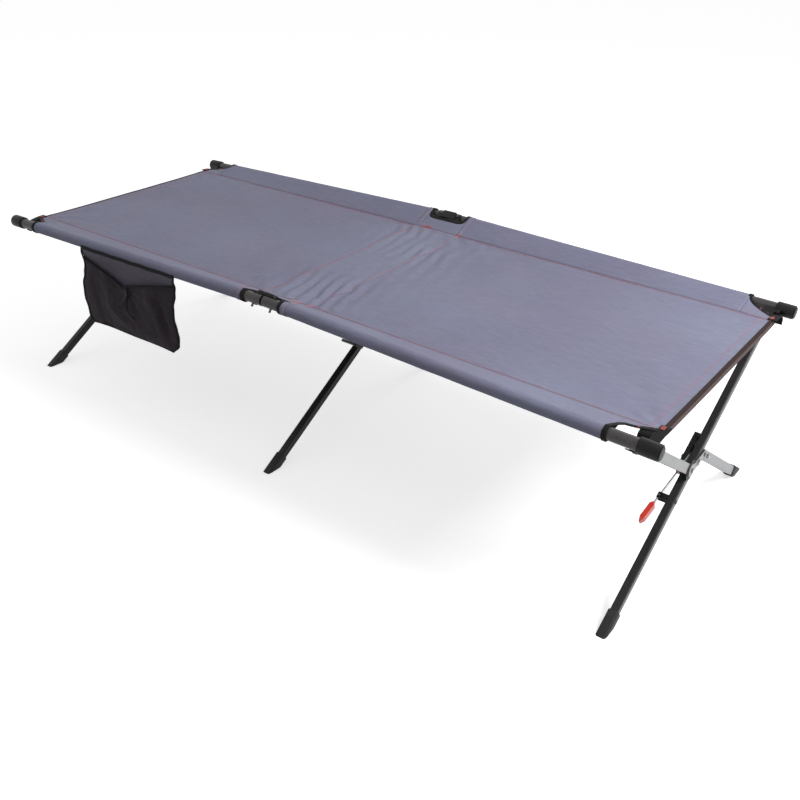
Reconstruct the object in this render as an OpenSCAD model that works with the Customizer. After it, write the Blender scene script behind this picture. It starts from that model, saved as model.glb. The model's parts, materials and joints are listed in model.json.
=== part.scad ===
// Folding cot: two hinged side rails on three crossed leg pairs, with a stretched
// fabric deck, a hanging mesh pocket and a locking folding leg at one end.
// X runs along the bed, Y across it (-Y is the near side) and Z up.
// The origin is on the floor, under the middle of the bed.

/* [Bed] */
// Length of the whole rail, both halves
bed_length = 2160; // [1800:10:2300]
// Distance between the axes of the two side rails
bed_width = 830; // [700:5:900]
// Height of the rail axis above the floor at the two ends
rail_height = 505; // [450:5:560]
// How much higher the rails stand at their centre hinge
hinge_rise = 26; // [10:1:40]
// Distance between the near and far feet, where the leg axes meet the floor
foot_spread = 800; // [700:5:840]

/* [Rails] */
// Outer diameter of the rail tube
rail_d = 28; // [24:1:32]
// Wall of the rail tube
rail_wall = 1.5; // [1:0.1:2]
// Gap between the two halves of a rail
rail_gap = 6; // [4:1:10]
// Length of the bracket at the end of each rail
end_bracket_length = 45; // [40:1:60]
// Wall of the end bracket around the tube
end_bracket_wall = 4; // [3:0.5:5]
// Thickness of the end plug's flange
plug_flange = 3; // [2:0.5:5]
// Depth of the end plug inside the tube
plug_depth = 18; // [10:1:30]

/* [Centre hinge] */
// Distance of the centre hinge from the middle of the bed, towards the foot end
hinge_x = 17; // [0:1:20]
// Distance of each hinge pin from the gap between the tubes
hinge_pin_out = 31; // [28:1:40]
// Half the length of the hinge bracket
hinge_reach = 66; // [60:1:68]
// Half the length of the saddle over the gap
saddle_reach = 23; // [18:1:25]
// Height of the saddle above the tubes
saddle_t = 8; // [5:0.5:10]
// Thickness of the steel plates
plate_t = 2.5; // [2:0.1:3]
// Diameter of the hinge pins and leg rivets
rivet_d = 6; // [5:0.5:8]
// How far a hinge pin stands out below the rail
pin_reach = 10; // [6:1:14]

/* [Legs] */
// Leg tube width along the bed
leg_w = 20; // [18:1:22]
// Leg tube depth
leg_d = 22; // [20:1:24]
// Corner radius of the leg tube
leg_r = 3; // [2:0.5:4]
// Wall of the leg tube
leg_wall = 1.5; // [1:0.1:2]
// How far the leg pair at the head end stands in from the rail's end
head_legs_inset = 34; // [30:1:150]
// Place of the middle leg that reaches to the far rail
middle_leg_x = -13; // [-16:1:-10]
// How far the locking leg pair stands in from the rail's end
lock_legs_inset = 58; // [50:1:150]
// Washer between two crossed legs
cross_washer_t = 4.5; // [3:0.5:8]
// Length of the stop bar at the middle crossing
stop_bar_length = 81; // [60:1:90]
// Width of the stop bar
stop_bar_w = 8; // [6:0.5:12]
// Thickness of the stop bar
stop_bar_t = 4; // [3:0.5:6]
// Diameter of the pivot bolts where the legs cross
bolt_d = 8; // [6:1:10]

/* [Feet] */
// Wall of the rubber boot on each leg
boot_wall = 3.2; // [2.6:0.2:6]
// Length of the boot along the leg
boot_length = 30; // [25:1:45]
// Thickness of the rubber sole
sole_t = 3; // [2:0.5:6]

/* [Locking leg] */
// Depth of the aluminium arm section
arm_d = 26; // [24:1:28]
// Distance of each arm pivot from the crossing, along the leg
arm_pivot_along = 31.5; // [30:0.5:36]
// Sideways jog of each arm from the line of the leg
arm_jog = 23; // [22:0.5:28]
// Thickness of the plastic disc under the outer link plate
disc_t = 1.5; // [1:0.1:3]
// Radius of that disc
disc_r = 26; // [22:1:30]
// Radius of the link plate's round end
link_end_r = 17; // [14:1:19]
// Width of the link plate between its pivots
link_w = 22; // [18:1:26]
// Length of the link plate's tail along the lower arm
link_tail = 30; // [20:1:50]
// Width of that tail
link_tail_w = 18; // [14:1:20]
// Depth of the latch housing beside the straight leg
housing_t = 11; // [8:0.5:14]
// Width of the latch housing
housing_w = 24; // [20:1:26]
// Length of the latch housing above the crossing
housing_up = 70; // [60:1:90]
// Length of the latch housing below the crossing
housing_down = 14; // [12:1:18]

/* [Release lever] */
// Distance of the lever's pivot below the crossing, along the leg
lever_pivot_along = 118; // [112:1:126]
// Distance of the lever's pivot from the side of the leg
lever_stand_off = 21.5; // [20:0.5:24]
// Angle between the lever and the leg
lever_lean = 9; // [7:0.5:10]
// Width of the lever strip
lever_w = 10; // [8:1:12]
// Thickness of the lever strip
lever_t = 2.5; // [2:0.5:4]
// Distance from the lever's pivot to the grip
grip_start = 21; // [18:1:30]
// Length of the grip
grip_length = 61; // [50:1:75]
// Width of the grip
grip_w = 20; // [18:1:26]
// Thickness of the grip
grip_t = 12; // [10:1:16]
// Width of the latch tongue
tongue_w = 16; // [12:1:20]
// Length of the latch tongue
tongue_length = 25; // [20:1:30]
// Diameter of the lever's pivot pin
lever_pin_d = 4; // [3:0.5:5]

/* [Deck] */
// Thickness of the deck fabric
deck_t = 2; // [1.5:0.1:3]
// How far the sleeves end short of the rail's end
sleeve_inset = 115; // [100:5:150]
// How far the sleeves start from the centre hinge
sleeve_start = 69; // [69:1:90]
// Overhang of the deck past the sleeves at each end
deck_overhang = 82; // [60:1:90]
// How far the deck's corners stand in from the rail axis at the head end
deck_head_inset = 50; // [46:1:70]
// How far the deck's corners stand in from the rail axis at the foot end
deck_foot_inset = 75; // [50:1:79]
// How far each sleeve's seam stands in from the rail axis
seam_inset = 80; // [80:1:120]
// How far the deck's sheet lies below the rail axes at its ends
sheet_drop = 2; // [0:1:6]
// How much higher the sheet lies at the middle of the bed
sheet_rise = 6; // [0:1:20]
// How far the deck's edge stands in beside the centre hinge
deck_hinge_inset = 36; // [34:1:50]

/* [Pocket] */
// Distance of the pocket's middle from the middle of the bed
pocket_x = 515; // [400:1:600]
// Width of the pocket at its top
pocket_top_w = 404; // [300:1:440]
// Width of the pocket at its bottom
pocket_bottom_w = 424; // [300:1:440]
// Height of the pocket
pocket_h = 240; // [180:1:260]
// Height of the pocket's front panel at its sides
pocket_front_h = 212; // [150:1:214]
// How far the front panel's mouth is drawn down at its lowest point
mouth_dip = 50; // [0:1:80]
// Distance of that point from the pocket's middle, towards the head
mouth_shift = 12; // [0:1:40]
// Depth of the pocket
pocket_depth = 18; // [14:1:24]
// Thickness of the mesh
pocket_t = 1.5; // [1:0.1:2]
// Diameter of the drawcord
cord_d = 3; // [2:0.5:4]

/* [Hidden] */
$fn = 48;

// Clearances: between pieces that only stand beside each other, and round a pin.
gap = 0.3;
fit = 0.05;
// Overlap of the pieces of one solid, and overshoot of a cut.
eps = 0.5;

// The rails.
rail_half = bed_length / 2;
rail_y = bed_width / 2;
rail_r = rail_d / 2;
hinge_height = rail_height + hinge_rise;
bracket_start = rail_half - end_bracket_length;
plug_rim = 1;
head_legs_x = head_legs_inset - rail_half;
lock_legs_x = rail_half - lock_legs_inset;

// Tilt of a rail's half: side is -1 at the head and 1 at the foot.
function arch(side) = atan(hinge_rise / (rail_half - side * hinge_x));

// The crossed legs: every pair pivots on one line, X through the crossing.
foot_y = foot_spread / 2;
cross_z = rail_height * foot_y / (foot_y + rail_y);
lean = atan(cross_z / foot_y);
to_floor = foot_y / cos(lean);
to_rail = rail_y / cos(lean);
leg_top_gap = rail_r + 8;
leg_top = to_rail - leg_top_gap;
ear_margin = 12;
leg_rivet_along = leg_top - ear_margin;
ear_half_w = leg_w / 2 + 4;
ear_z = leg_d / 2 + gap;
pair_step = leg_w + cross_washer_t;
head_leg_b_x = head_legs_x + pair_step;
middle_leg_b_x = middle_leg_x - pair_step;
rivet_r = rivet_d / 2;
bolt_r = bolt_d / 2;
bolt_head_r = bolt_r + 4;
bolt_head_t = 3.5;
bracket_r = rail_r + end_bracket_wall;
rivet_head_r = rivet_r + 2.5;
rivet_head_t = 2;

// A middle leg's upper half is bent up at the crossing, to meet the raised hinge.
upper_lean = atan((hinge_height - cross_z) / rail_y);
hinge_along = rail_y / cos(upper_lean);
middle_leg_top = hinge_along - leg_top_gap;
middle_rivet_along = middle_leg_top - ear_margin;
knuckle_half = 14;
knuckle_rim = 1;
web_clear = 3;
pin_tab_half = 9;
// Where the other leg's underside meets the stop bar, below the crossing.
stop_angle = 180 - lean - upper_lean;
stop_top = leg_d / 2 + stop_bar_t;
stop_along = (leg_d / 2 + stop_top * -cos(stop_angle)) / sin(stop_angle) + gap;
stop_screw_r = 3;

// The locking leg: its arms run from their pivots to the rail and to the floor.
arm_angle = atan(arm_jog / (to_rail - arm_pivot_along));
arm_r = arm_d / 2;
arm_corner = 1.5;
snap_r = 4;
snap_drop = 34;
arm_lean = lean + arm_angle;
arm_to_rail = (to_rail - arm_pivot_along) / cos(arm_angle);
arm_to_floor = (cross_z - arm_pivot_along * sin(lean) + arm_jog * cos(lean)) / sin(arm_lean);
beside_leg = leg_w / 2 + gap;
outer_plate_x = beside_leg + disc_t;
outer_face_x = outer_plate_x + plate_t;
inner_face_x = -beside_leg - plate_t;
housing_x = inner_face_x - gap;
rail_pivot = [arm_pivot_along, -arm_jog];
foot_pivot = [-arm_pivot_along, arm_jog];
tail_end = foot_pivot - link_tail * [cos(arm_angle), sin(arm_angle)];

// The release lever.
lever_x = -leg_w / 2 - lever_stand_off;
lever_pin_r = lever_pin_d / 2;
tongue_up = lever_pivot_along - arm_pivot_along;

// The deck: its sheet hangs between two seams, where the sleeves round the rails begin.
deck_r = rail_r + gap;
sleeve_end = rail_half - sleeve_inset;
deck_end = sleeve_end + deck_overhang;
seam_y = rail_y - seam_inset;
sheet_mid_z = rail_height - sheet_drop + sheet_rise;
sheet_tilt = atan(sheet_rise / deck_end);

// The pocket hangs under the near rail's sleeve, its front flush with the sleeve.
pocket_top = -deck_r - deck_t - gap;
pocket_face = deck_r + deck_t;
seam_clear = 8;
lock_drop = pocket_h - pocket_front_h + mouth_dip + seam_clear;
cord_lock_r = 5;
cord_lock_h = 18;
button_r = 3.2;
button_travel = 2.5;

// ---------- Frames that the pieces are drawn in ----------

// Mirrors the far side, in which every frame piece is drawn, onto the near side.
module near_side() {
    mirror([0, 1, 0]) children();
}

// One half of a rail, tilted about the hinge: x runs along the tube. side is -1 at the head.
module along_rail(side) {
    translate([hinge_x, rail_y, hinge_height])
        rotate([0, side * arch(side), 0])
            translate([-hinge_x, 0, 0])
                children();
}

// The frame of a leg that rises to the far rail: y runs up along it, z is square to it.
module along_leg(x) {
    translate([x, 0, cross_z])
        rotate([lean, 0, 0])
            children();
}

// The frame of a middle leg's upper half: the rail's hinge is on its y axis.
module along_upper_leg(x) {
    translate([x, 0, cross_z])
        rotate([upper_lean, 0, 0])
            children();
}

// A cylinder along X between two places.
module x_cylinder(from, to, r) {
    translate([min(from, to), 0, 0])
        rotate([0, 90, 0])
            cylinder(r = r, h = abs(to - from));
}

// A cylinder along Z between two places.
module z_cylinder(from, to, r) {
    translate([0, 0, from])
        cylinder(r = r, h = to - from);
}

// A rectangle with round corners, centred.
module round_rect(w, h, r) {
    square([w - 2 * r, h], center = true);
    square([w, h - 2 * r], center = true);
    for (sx = [-1, 1], sy = [-1, 1])
        translate([sx * (w / 2 - r), sy * (h / 2 - r)])
            circle(r = r);
}

// A bar with round corners along Y, between two places.
module y_bar(from, to, w, h, r) {
    translate([0, to, 0])
        rotate([90, 0, 0])
            linear_extrude(to - from)
                round_rect(w, h, r);
}

// All that lies below a height above the floor, around the legs.
module below(height, x) {
    translate([x - 60, -rail_y - 120, height - 200])
        cube([120, bed_width + 240, 200]);
}

// A box between two corners.
module box(low, high) {
    translate(low)
        cube(high - low);
}

// ---------- Rails and their brackets ----------

module rail_shape(side) {
    start = hinge_x + side * rail_gap / 2;
    difference() {
        along_rail(side)
            difference() {
                x_cylinder(start, side * rail_half, rail_r);
                x_cylinder(start - side * eps, side * (rail_half + eps), rail_r - rail_wall);
            }
        hinge_pin_holes();
    }
}

// The two hinge pins' places, on the rail axis, square to the legs.
module at_hinge_pins() {
    for (side = [-1, 1])
        along_upper_leg(hinge_x + side * hinge_pin_out)
            translate([0, hinge_along, 0])
                children();
}

module hinge_pin_holes() {
    at_hinge_pins()
        z_cylinder(-rail_d, rail_d, rivet_r + fit);
}

// The centre hinge: a web inside the tubes, a saddle over their gap, a tab for each pin,
// and two ears for one leg.
module hinge_bracket_shape(leg_x) {
    inner = hinge_along - rail_r - web_clear - plate_t;
    outer = hinge_along + ear_margin / 2;
    over = rail_r + gap;
    difference() {
        union() {
            along_upper_leg(hinge_x) {
                box([-hinge_reach, inner, -ear_z - plate_t], [hinge_reach, inner + plate_t, over + plate_t]);
                box([-saddle_reach, inner, over], [saddle_reach, outer, over + saddle_t]);
                for (side = [-1, 1])
                    translate([side * hinge_pin_out, 0, 0])
                        box([-pin_tab_half, inner, over], [pin_tab_half, outer, over + plate_t]);
            }
            along_upper_leg(leg_x)
                for (z = [ear_z, -ear_z - plate_t])
                    box([-ear_half_w, middle_rivet_along - ear_margin, z],
                        [ear_half_w, inner + eps, z + plate_t]);
        }
        hinge_pin_holes();
        along_upper_leg(leg_x)
            translate([0, middle_rivet_along, 0])
                z_cylinder(-rail_d, rail_d, rivet_r + fit);
    }
}

module hinge_pins_shape() {
    top = rail_r + gap + plate_t;
    at_hinge_pins() {
        z_cylinder(-rail_r - pin_reach, top, rivet_r);
        z_cylinder(top, top + rivet_head_t, rivet_head_r);
    }
}

// The frame at the top of a leg: the rail axis at the origin, y running on up past it.
module at_rail_end(x, angle) {
    translate([x, rail_y, rail_height])
        rotate([angle, 0, 0])
            children();
}

// The end bracket: a sleeve round the tube's end with two ears that hold a leg's top.
module end_bracket_shape(side, x, angle, depth) {
    ear = depth / 2 + gap;
    to_sleeve = side * (bracket_start + ear_half_w) - x;
    difference() {
        union() {
            along_rail(side)
                x_cylinder(side * bracket_start, side * rail_half, bracket_r);
            at_rail_end(x, angle)
                for (z = [ear, -ear - plate_t]) {
                    box([-ear_half_w, -leg_top_gap - ear_margin * 2, z],
                        [ear_half_w, -rail_r / 2, z + plate_t]);
                    box([min(-ear_half_w, to_sleeve), -leg_top_gap, z],
                        [max(ear_half_w, to_sleeve), -rail_r / 2, z + plate_t]);
                }
        }
        along_rail(side)
            x_cylinder(side * (bracket_start - rail_d * 2), side * (rail_half + eps), rail_r + fit);
        at_rail_end(x, angle)
            translate([0, -leg_top_gap - ear_margin, 0])
                z_cylinder(-rail_d, rail_d, rivet_r + fit);
    }
}

module end_plug_shape(side) {
    along_rail(side) {
        x_cylinder(side * (rail_half - plug_depth), side * rail_half, rail_r - rail_wall - fit);
        x_cylinder(side * rail_half, side * (rail_half + plug_flange), rail_r + plug_rim);
    }
}

// A rivet through two ears that stand either side of a leg, with a head outside each.
module ear_rivet(reach) {
    z_cylinder(-reach, reach, rivet_r);
    z_cylinder(reach, reach + rivet_head_t, rivet_head_r);
    z_cylinder(-reach - rivet_head_t, -reach, rivet_head_r);
}

module leg_rivet_shape(x) {
    along_leg(x)
        translate([0, leg_rivet_along, 0])
            ear_rivet(ear_z + plate_t);
}

module middle_leg_rivet_shape(x) {
    along_upper_leg(x)
        translate([0, middle_rivet_along, 0])
            ear_rivet(ear_z + plate_t);
}

// ---------- Legs, boots and crossing bolts ----------

module leg_shape(x) {
    difference() {
        along_leg(x)
            square_tube(-to_floor - boot_length, leg_top, leg_w, leg_d, leg_r);
        below(sole_t, x);
        along_leg(x) {
            translate([0, leg_rivet_along, 0])
                z_cylinder(-leg_d, leg_d, rivet_r + fit);
            x_cylinder(-leg_w, leg_w, bolt_r + fit);
        }
    }
}

// A middle leg: two straight tubes that meet in a solid knuckle at the crossing.
module bent_leg_shape(x) {
    deep = leg_d / 2 + knuckle_rim;
    difference() {
        union() {
            along_leg(x) {
                square_tube(-to_floor - boot_length, -knuckle_half / 2, leg_w, leg_d, leg_r);
                box([-leg_w / 2, -knuckle_half, -deep], [leg_w / 2, knuckle_half, deep]);
            }
            along_upper_leg(x) square_tube(knuckle_half / 2, middle_leg_top, leg_w, leg_d, leg_r);
        }
        along_leg(x) x_cylinder(-leg_w, leg_w, bolt_r + fit);
        along_upper_leg(x)
            translate([0, middle_rivet_along, 0])
                z_cylinder(-leg_d, leg_d, rivet_r + fit);
        below(sole_t, x);
    }
}

// The stop bar lies across a middle leg, where the other leg's underside comes to rest on it.
module at_stop_bar() {
    along_leg(middle_leg_x)
        translate([-pair_step / 2, -stop_along - stop_bar_w, leg_d / 2])
            children();
}

module stop_bar_shape() {
    difference() {
        at_stop_bar()
            box([-stop_bar_length / 2, 0, 0], [stop_bar_length / 2, stop_bar_w, stop_bar_t]);
        stop_screw_shank(fit);
    }
}

module stop_screw_shank(clear) {
    at_stop_bar()
        translate([pair_step / 2, stop_bar_w / 2, 0])
            z_cylinder(-leg_wall, stop_bar_t + clear, stop_screw_r / 2 + clear);
}

module stop_screw_shape() {
    stop_screw_shank(0);
    at_stop_bar()
        translate([pair_step / 2, stop_bar_w / 2, 0])
            z_cylinder(stop_bar_t, stop_bar_t + rivet_head_t, stop_screw_r);
}

// A tube with a rectangular section along Y.
module square_tube(from, to, w, h, r) {
    difference() {
        y_bar(from, to, w, h, r);
        y_bar(from - eps, to + eps, w - 2 * leg_wall, h - 2 * leg_wall, r - leg_wall / 2);
    }
}

// A rubber boot, drawn in a leg's frame: its foot end is cut off at the floor afterwards.
module boot_bar(reach, angle, w, d, r) {
    y_bar(-reach - boot_length, -reach + d / 2 / tan(angle) + boot_length,
          w + 2 * boot_wall, d + 2 * boot_wall, r + boot_wall);
}

module boot_socket(reach, w, d, r) {
    y_bar(-reach - boot_length - eps, 0, w + 2 * fit, d + 2 * fit, r);
}

module boot_shape(x) {
    difference() {
        along_leg(x) boot_bar(to_floor, lean, leg_w, leg_d, leg_r);
        below(0, x);
        difference() {
            along_leg(x) boot_socket(to_floor, leg_w, leg_d, leg_r);
            below(sole_t - fit, x);
        }
    }
}

module pivot_bolt_shape(x, from, to) {
    along_leg(x) {
        x_cylinder(from, to, bolt_r);
        x_cylinder(from - bolt_head_t, from, bolt_head_r);
        x_cylinder(to, to + bolt_head_t, bolt_head_r);
    }
}

// The washer between a leg and the one beside it: side is 1 where that one is at its +x face.
module cross_washer_shape(x, side) {
    along_leg(x)
        difference() {
            x_cylinder(side * (leg_w + gap) / 2, side * (leg_w / 2 + cross_washer_t - gap / 2), bolt_head_r);
            x_cylinder(0, side * leg_w, bolt_r + fit);
        }
}

// ---------- The locking leg, drawn on the far side and mirrored ----------

// An arm's frame: end is 1 at the rail's arm and -1 at the foot's arm.
module along_arm(end) {
    along_leg(lock_legs_x)
        translate([0, end * arm_pivot_along, -end * arm_jog])
            rotate([arm_angle, 0, 0])
                children();
}

// The room that the crossing leg takes up, which the arms' ends are cut back from.
module leg_corridor() {
    near_side()
        along_leg(lock_legs_x)
            y_bar(-arm_pivot_along * 3, arm_pivot_along * 3, leg_w * 2, leg_d + 4 * gap, gap);
}

module arm_end(end) {
    difference() {
        union() {
            x_cylinder(-leg_w / 2, leg_w / 2, arm_r);
            y_bar(min(0, end * arm_r), max(0, end * arm_r), leg_w, arm_d, arm_corner);
        }
        x_cylinder(-leg_w, leg_w, rivet_r + fit);
    }
}

module upper_arm_shape() {
    top = arm_to_rail - leg_top_gap;
    difference() {
        along_arm(1) {
            arm_end(1);
            square_tube(arm_r, top, leg_w, arm_d, arm_corner);
        }
        leg_corridor();
        along_arm(1)
            translate([0, top - ear_margin, 0])
                z_cylinder(-arm_d, arm_d, rivet_r + fit);
    }
}

module lower_arm_shape() {
    difference() {
        along_arm(-1) {
            arm_end(-1);
            difference() {
                square_tube(-arm_to_floor - boot_length, -arm_r, leg_w, arm_d, arm_corner);
                at_snap_button()
                    x_cylinder(leg_w / 2 - leg_wall * 2, leg_w, snap_r + fit);
                translate([0, -link_tail, 0])
                    x_cylinder(-leg_w, leg_w, rivet_r + fit);
            }
        }
        leg_corridor();
        below(sole_t, lock_legs_x);
    }
}

// The sprung button in the lower arm's face, below the link plate's tail.
module at_snap_button() {
    translate([0, -link_tail - snap_drop, 0])
        children();
}

module snap_button_shape() {
    along_arm(-1)
        at_snap_button()
            x_cylinder(leg_w / 2 - leg_wall * 2, leg_w / 2 + plate_t, snap_r);
}

// A flat outline in the leg's plane, given thickness between two x places.
module link_outline(from, to) {
    along_leg(lock_legs_x)
        translate([from, 0, 0])
            rotate([90, 0, 90])
                linear_extrude(to - from)
                    children();
}

// A strip with round ends between two points, its sides just inside its ends' circles.
module strip(p, q, r) {
    half = r - gap;
    translate(p) circle(r = r);
    translate(q) circle(r = r);
    translate(p)
        rotate(atan2(q[1] - p[1], q[0] - p[0]))
            translate([0, -half])
                square([norm(q - p), 2 * half]);
}

module link_rivet_holes() {
    for (end = [-1, 1])
        along_arm(end)
            x_cylinder(-leg_w * 2, leg_w * 2, rivet_r + fit);
    along_arm(-1)
        translate([0, -link_tail, 0])
            x_cylinder(-leg_w * 2, leg_w * 2, rivet_r + fit);
    along_leg(lock_legs_x)
        x_cylinder(-leg_w * 2, leg_w * 2, bolt_r + fit);
}

// The plate that ties both arms to the crossing: round at the rail's arm.
module link_plate_shape(from, to) {
    difference() {
        link_outline(from, to) {
            translate(rail_pivot) circle(r = link_end_r);
            strip(rail_pivot, foot_pivot, link_w / 2);
            strip(foot_pivot, tail_end, link_tail_w / 2);
        }
        link_rivet_holes();
    }
}

module pivot_disc_shape() {
    difference() {
        link_outline(beside_leg, outer_plate_x) {
            translate(rail_pivot) circle(r = disc_r);
            strip(rail_pivot, foot_pivot, link_w / 2);
        }
        link_rivet_holes();
    }
}

module link_rivets_shape() {
    module link_rivet() {
        x_cylinder(inner_face_x, outer_face_x, rivet_r);
        x_cylinder(outer_face_x, outer_face_x + rivet_head_t, rivet_head_r);
    }
    for (end = [-1, 1])
        along_arm(end) link_rivet();
    along_arm(-1)
        translate([0, -link_tail, 0]) link_rivet();
}

module arm_rivet_shape() {
    along_arm(1)
        translate([0, arm_to_rail - leg_top_gap - ear_margin, 0])
            ear_rivet(arm_r + gap + plate_t);
}

module arm_boot_shape() {
    difference() {
        along_arm(-1) boot_bar(arm_to_floor, arm_lean, leg_w, arm_d, arm_corner);
        below(0, lock_legs_x);
        difference() {
            along_arm(-1) boot_socket(arm_to_floor, leg_w, arm_d, arm_corner);
            below(sole_t - fit, lock_legs_x);
        }
    }
}

// ---------- The latch housing and release lever, on the straight leg ----------

module latch_housing_shape() {
    difference() {
        along_leg(lock_legs_x) {
            box([housing_x - housing_t, -housing_down, -housing_w / 2],
                [housing_x, housing_up, housing_w / 2]);
            box([housing_x - housing_t, housing_up - ear_margin, -housing_w / 2],
                [-leg_w / 2, housing_up, housing_w / 2]);
        }
        along_leg(lock_legs_x)
            x_cylinder(-leg_w * 4, 0, bolt_r + fit);
    }
}

// The lever's frame: its pivot at the origin, y running up along the strip to the latch.
module along_lever() {
    along_leg(lock_legs_x)
        translate([lever_x, -lever_pivot_along, 0])
            rotate([0, 0, -lever_lean])
                children();
}

module release_lever_shape() {
    along_lever()
        difference() {
            union() {
                box([-lever_t / 2, -grip_start * 2, -lever_w / 2], [lever_t / 2, tongue_up, lever_w / 2]);
                z_cylinder(-lever_w / 2, lever_w / 2, lever_pin_r + lever_t / 2);
            }
            z_cylinder(-lever_w, lever_w, lever_pin_r + fit);
        }
}

// The grip: tapered at both ends, with a slot for the lever strip.
module release_grip_shape() {
    taper = grip_t / 3;
    along_lever()
        translate([0, -grip_start, 0])
            difference() {
                intersection() {
                    linear_extrude(grip_w, center = true)
                        grip_outline(grip_t, taper);
                    rotate([0, 90, 0])
                        linear_extrude(grip_t, center = true)
                            grip_outline(grip_w, taper);
                }
                box([-lever_t / 2 - fit, -grip_start - fit, -lever_w / 2 - fit],
                    [lever_t / 2 + fit, eps, lever_w / 2 + fit]);
            }
}

// The grip's outline from its top down: a short shoulder, a long body and a blunt point.
module grip_outline(w, taper) {
    polygon([
        [-w / 2 + taper, 0], [w / 2 - taper, 0], [w / 2, -taper * 2],
        [w / 2, -grip_length + taper * 3], [w / 2 - taper, -grip_length],
        [-w / 2 + taper, -grip_length], [-w / 2, -grip_length + taper * 3], [-w / 2, -taper * 2]
    ]);
}

// The latch tongue on the lever's upper end, beside the link plate's round end.
module latch_tongue_shape() {
    along_leg(lock_legs_x)
        difference() {
            box([housing_x - housing_t, -arm_pivot_along - tongue_length / 2, -tongue_w / 2],
                [housing_x, -arm_pivot_along + tongue_length / 2, tongue_w / 2]);
            translate([lever_x, -lever_pivot_along, 0])
                rotate([0, 0, -lever_lean])
                    box([-lever_t / 2 - fit, 0, -lever_w / 2 - fit],
                        [lever_t / 2 + fit, tongue_up + fit, lever_w / 2 + fit]);
        }
}

// The clip that carries the lever's pivot, on the side of the leg.
module lever_clip_shape() {
    side = lever_w / 2 + gap;
    half = ear_margin * 2 / 3;
    difference() {
        along_leg(lock_legs_x)
            translate([0, -lever_pivot_along, 0]) {
                for (z = [side, -side - plate_t])
                    box([lever_x - half / 2, -half, z], [-leg_w / 2, half, z + plate_t]);
                box([-leg_w / 2 - plate_t, -half, -side - plate_t], [-leg_w / 2, half, side + plate_t]);
            }
        along_lever() z_cylinder(-leg_d, leg_d, lever_pin_r + fit);
        along_leg(lock_legs_x)
            translate([0, -lever_pivot_along, 0])
                x_cylinder(-leg_w, leg_w, rivet_r + fit);
    }
}

module lever_pin_shape() {
    side = lever_w / 2 + gap + plate_t;
    along_lever() {
        z_cylinder(-side, side, lever_pin_r);
        for (z = [side, -side - rivet_head_t / 2])
            z_cylinder(z, z + rivet_head_t / 2, lever_pin_r + 1);
    }
}

module clip_rivet_shape() {
    along_leg(lock_legs_x)
        translate([0, -lever_pivot_along, 0]) {
            x_cylinder(-leg_w / 2 - plate_t, leg_w / 2, rivet_r);
            x_cylinder(leg_w / 2, leg_w / 2 + rivet_head_t, rivet_head_r);
        }
}

// ---------- Soft parts ----------

// One half of the deck's sheet: x runs out from the hinge, almost level.
module along_sheet(side) {
    translate([0, 0, sheet_mid_z])
        rotate([0, side * sheet_tilt, 0])
            children();
}

module sheet_half(side, inset) {
    edge = rail_y - inset;
    along_sheet(side)
        translate([0, 0, -deck_t / 2])
            linear_extrude(deck_t)
                mirror([side < 0 ? 1 : 0, 0])
                    polygon([
                        [-eps, -seam_y], [sleeve_end, -seam_y], [sleeve_end, -edge], [deck_end, -edge],
                        [deck_end, edge], [sleeve_end, edge], [sleeve_end, seam_y], [-eps, seam_y]
                    ]);
}

// The form of a sleeve: round the rail on one side, and drawn to the seam on the other.
module sleeve_form(side, r, from_seam, t, over) {
    low = hinge_x + side * (sleeve_start - over);
    high = side * (sleeve_end + over);
    hull() {
        along_rail(side) x_cylinder(low, high, r);
        along_sheet(side)
            box([min(low, high), seam_y + from_seam, -t / 2],
                [max(low, high), seam_y + from_seam + t, t / 2]);
    }
}

module sleeve(side) {
    difference() {
        sleeve_form(side, deck_r + deck_t, -eps, deck_t, 0);
        sleeve_form(side, deck_r, seam_clear, eps, eps);
    }
}

// The edge beside the centre hinge, drawn up towards the hinge bracket.
module hinge_flap() {
    edge_y = rail_y - deck_hinge_inset;
    translate([hinge_x, 0, 0])
        hull() {
            box([-sleeve_start, seam_y - eps, sheet_mid_z - deck_t / 2],
                [sleeve_start, seam_y, sheet_mid_z + deck_t / 2]);
            box([-sleeve_start, edge_y - deck_t, hinge_height - deck_t],
                [sleeve_start, edge_y, hinge_height]);
        }
}

// The pocket's frame: x across it, y up from its bottom, z out of its face.
module at_pocket() {
    near_side()
        along_rail(-1)
            translate([-pocket_x, pocket_face, pocket_top - pocket_h])
                rotate([-90, 0, 0])
                    mirror([0, 1, 0])
                        children();
}

module pocket_outline(h) {
    top = pocket_bottom_w + (pocket_top_w - pocket_bottom_w) * h / pocket_h;
    polygon([
        [-pocket_bottom_w / 2, 0], [pocket_bottom_w / 2, 0], [top / 2, h], [-top / 2, h]
    ]);
}

module pocket_back_shape() {
    at_pocket()
        translate([0, 0, -pocket_depth])
            linear_extrude(pocket_t)
                pocket_outline(pocket_h);
}

// The front panel with its bottom and sides, open at the top, where the drawcord pulls it down.
module pocket_front_shape() {
    at_pocket()
        translate([0, 0, -pocket_depth + pocket_t])
            difference() {
                linear_extrude(pocket_depth - pocket_t)
                    difference() {
                        pocket_outline(pocket_front_h);
                        polygon([
                            [-mouth_shift, pocket_front_h - mouth_dip],
                            [pocket_bottom_w / 2, pocket_front_h], [pocket_bottom_w / 2, pocket_h],
                            [-pocket_bottom_w / 2, pocket_h], [-pocket_bottom_w / 2, pocket_front_h]
                        ]);
                    }
                translate([0, pocket_t, -eps])
                    linear_extrude(pocket_depth - 2 * pocket_t + eps)
                        scale([1 - 2 * pocket_t / pocket_bottom_w, 1])
                            pocket_outline(pocket_front_h + eps);
            }
}

// The cord lock on the pocket's front: z runs up.
module at_cord_lock() {
    near_side()
        along_rail(-1)
            translate([-pocket_x - mouth_shift, pocket_face + cord_lock_r + gap, pocket_top - lock_drop])
                children();
}

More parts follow.
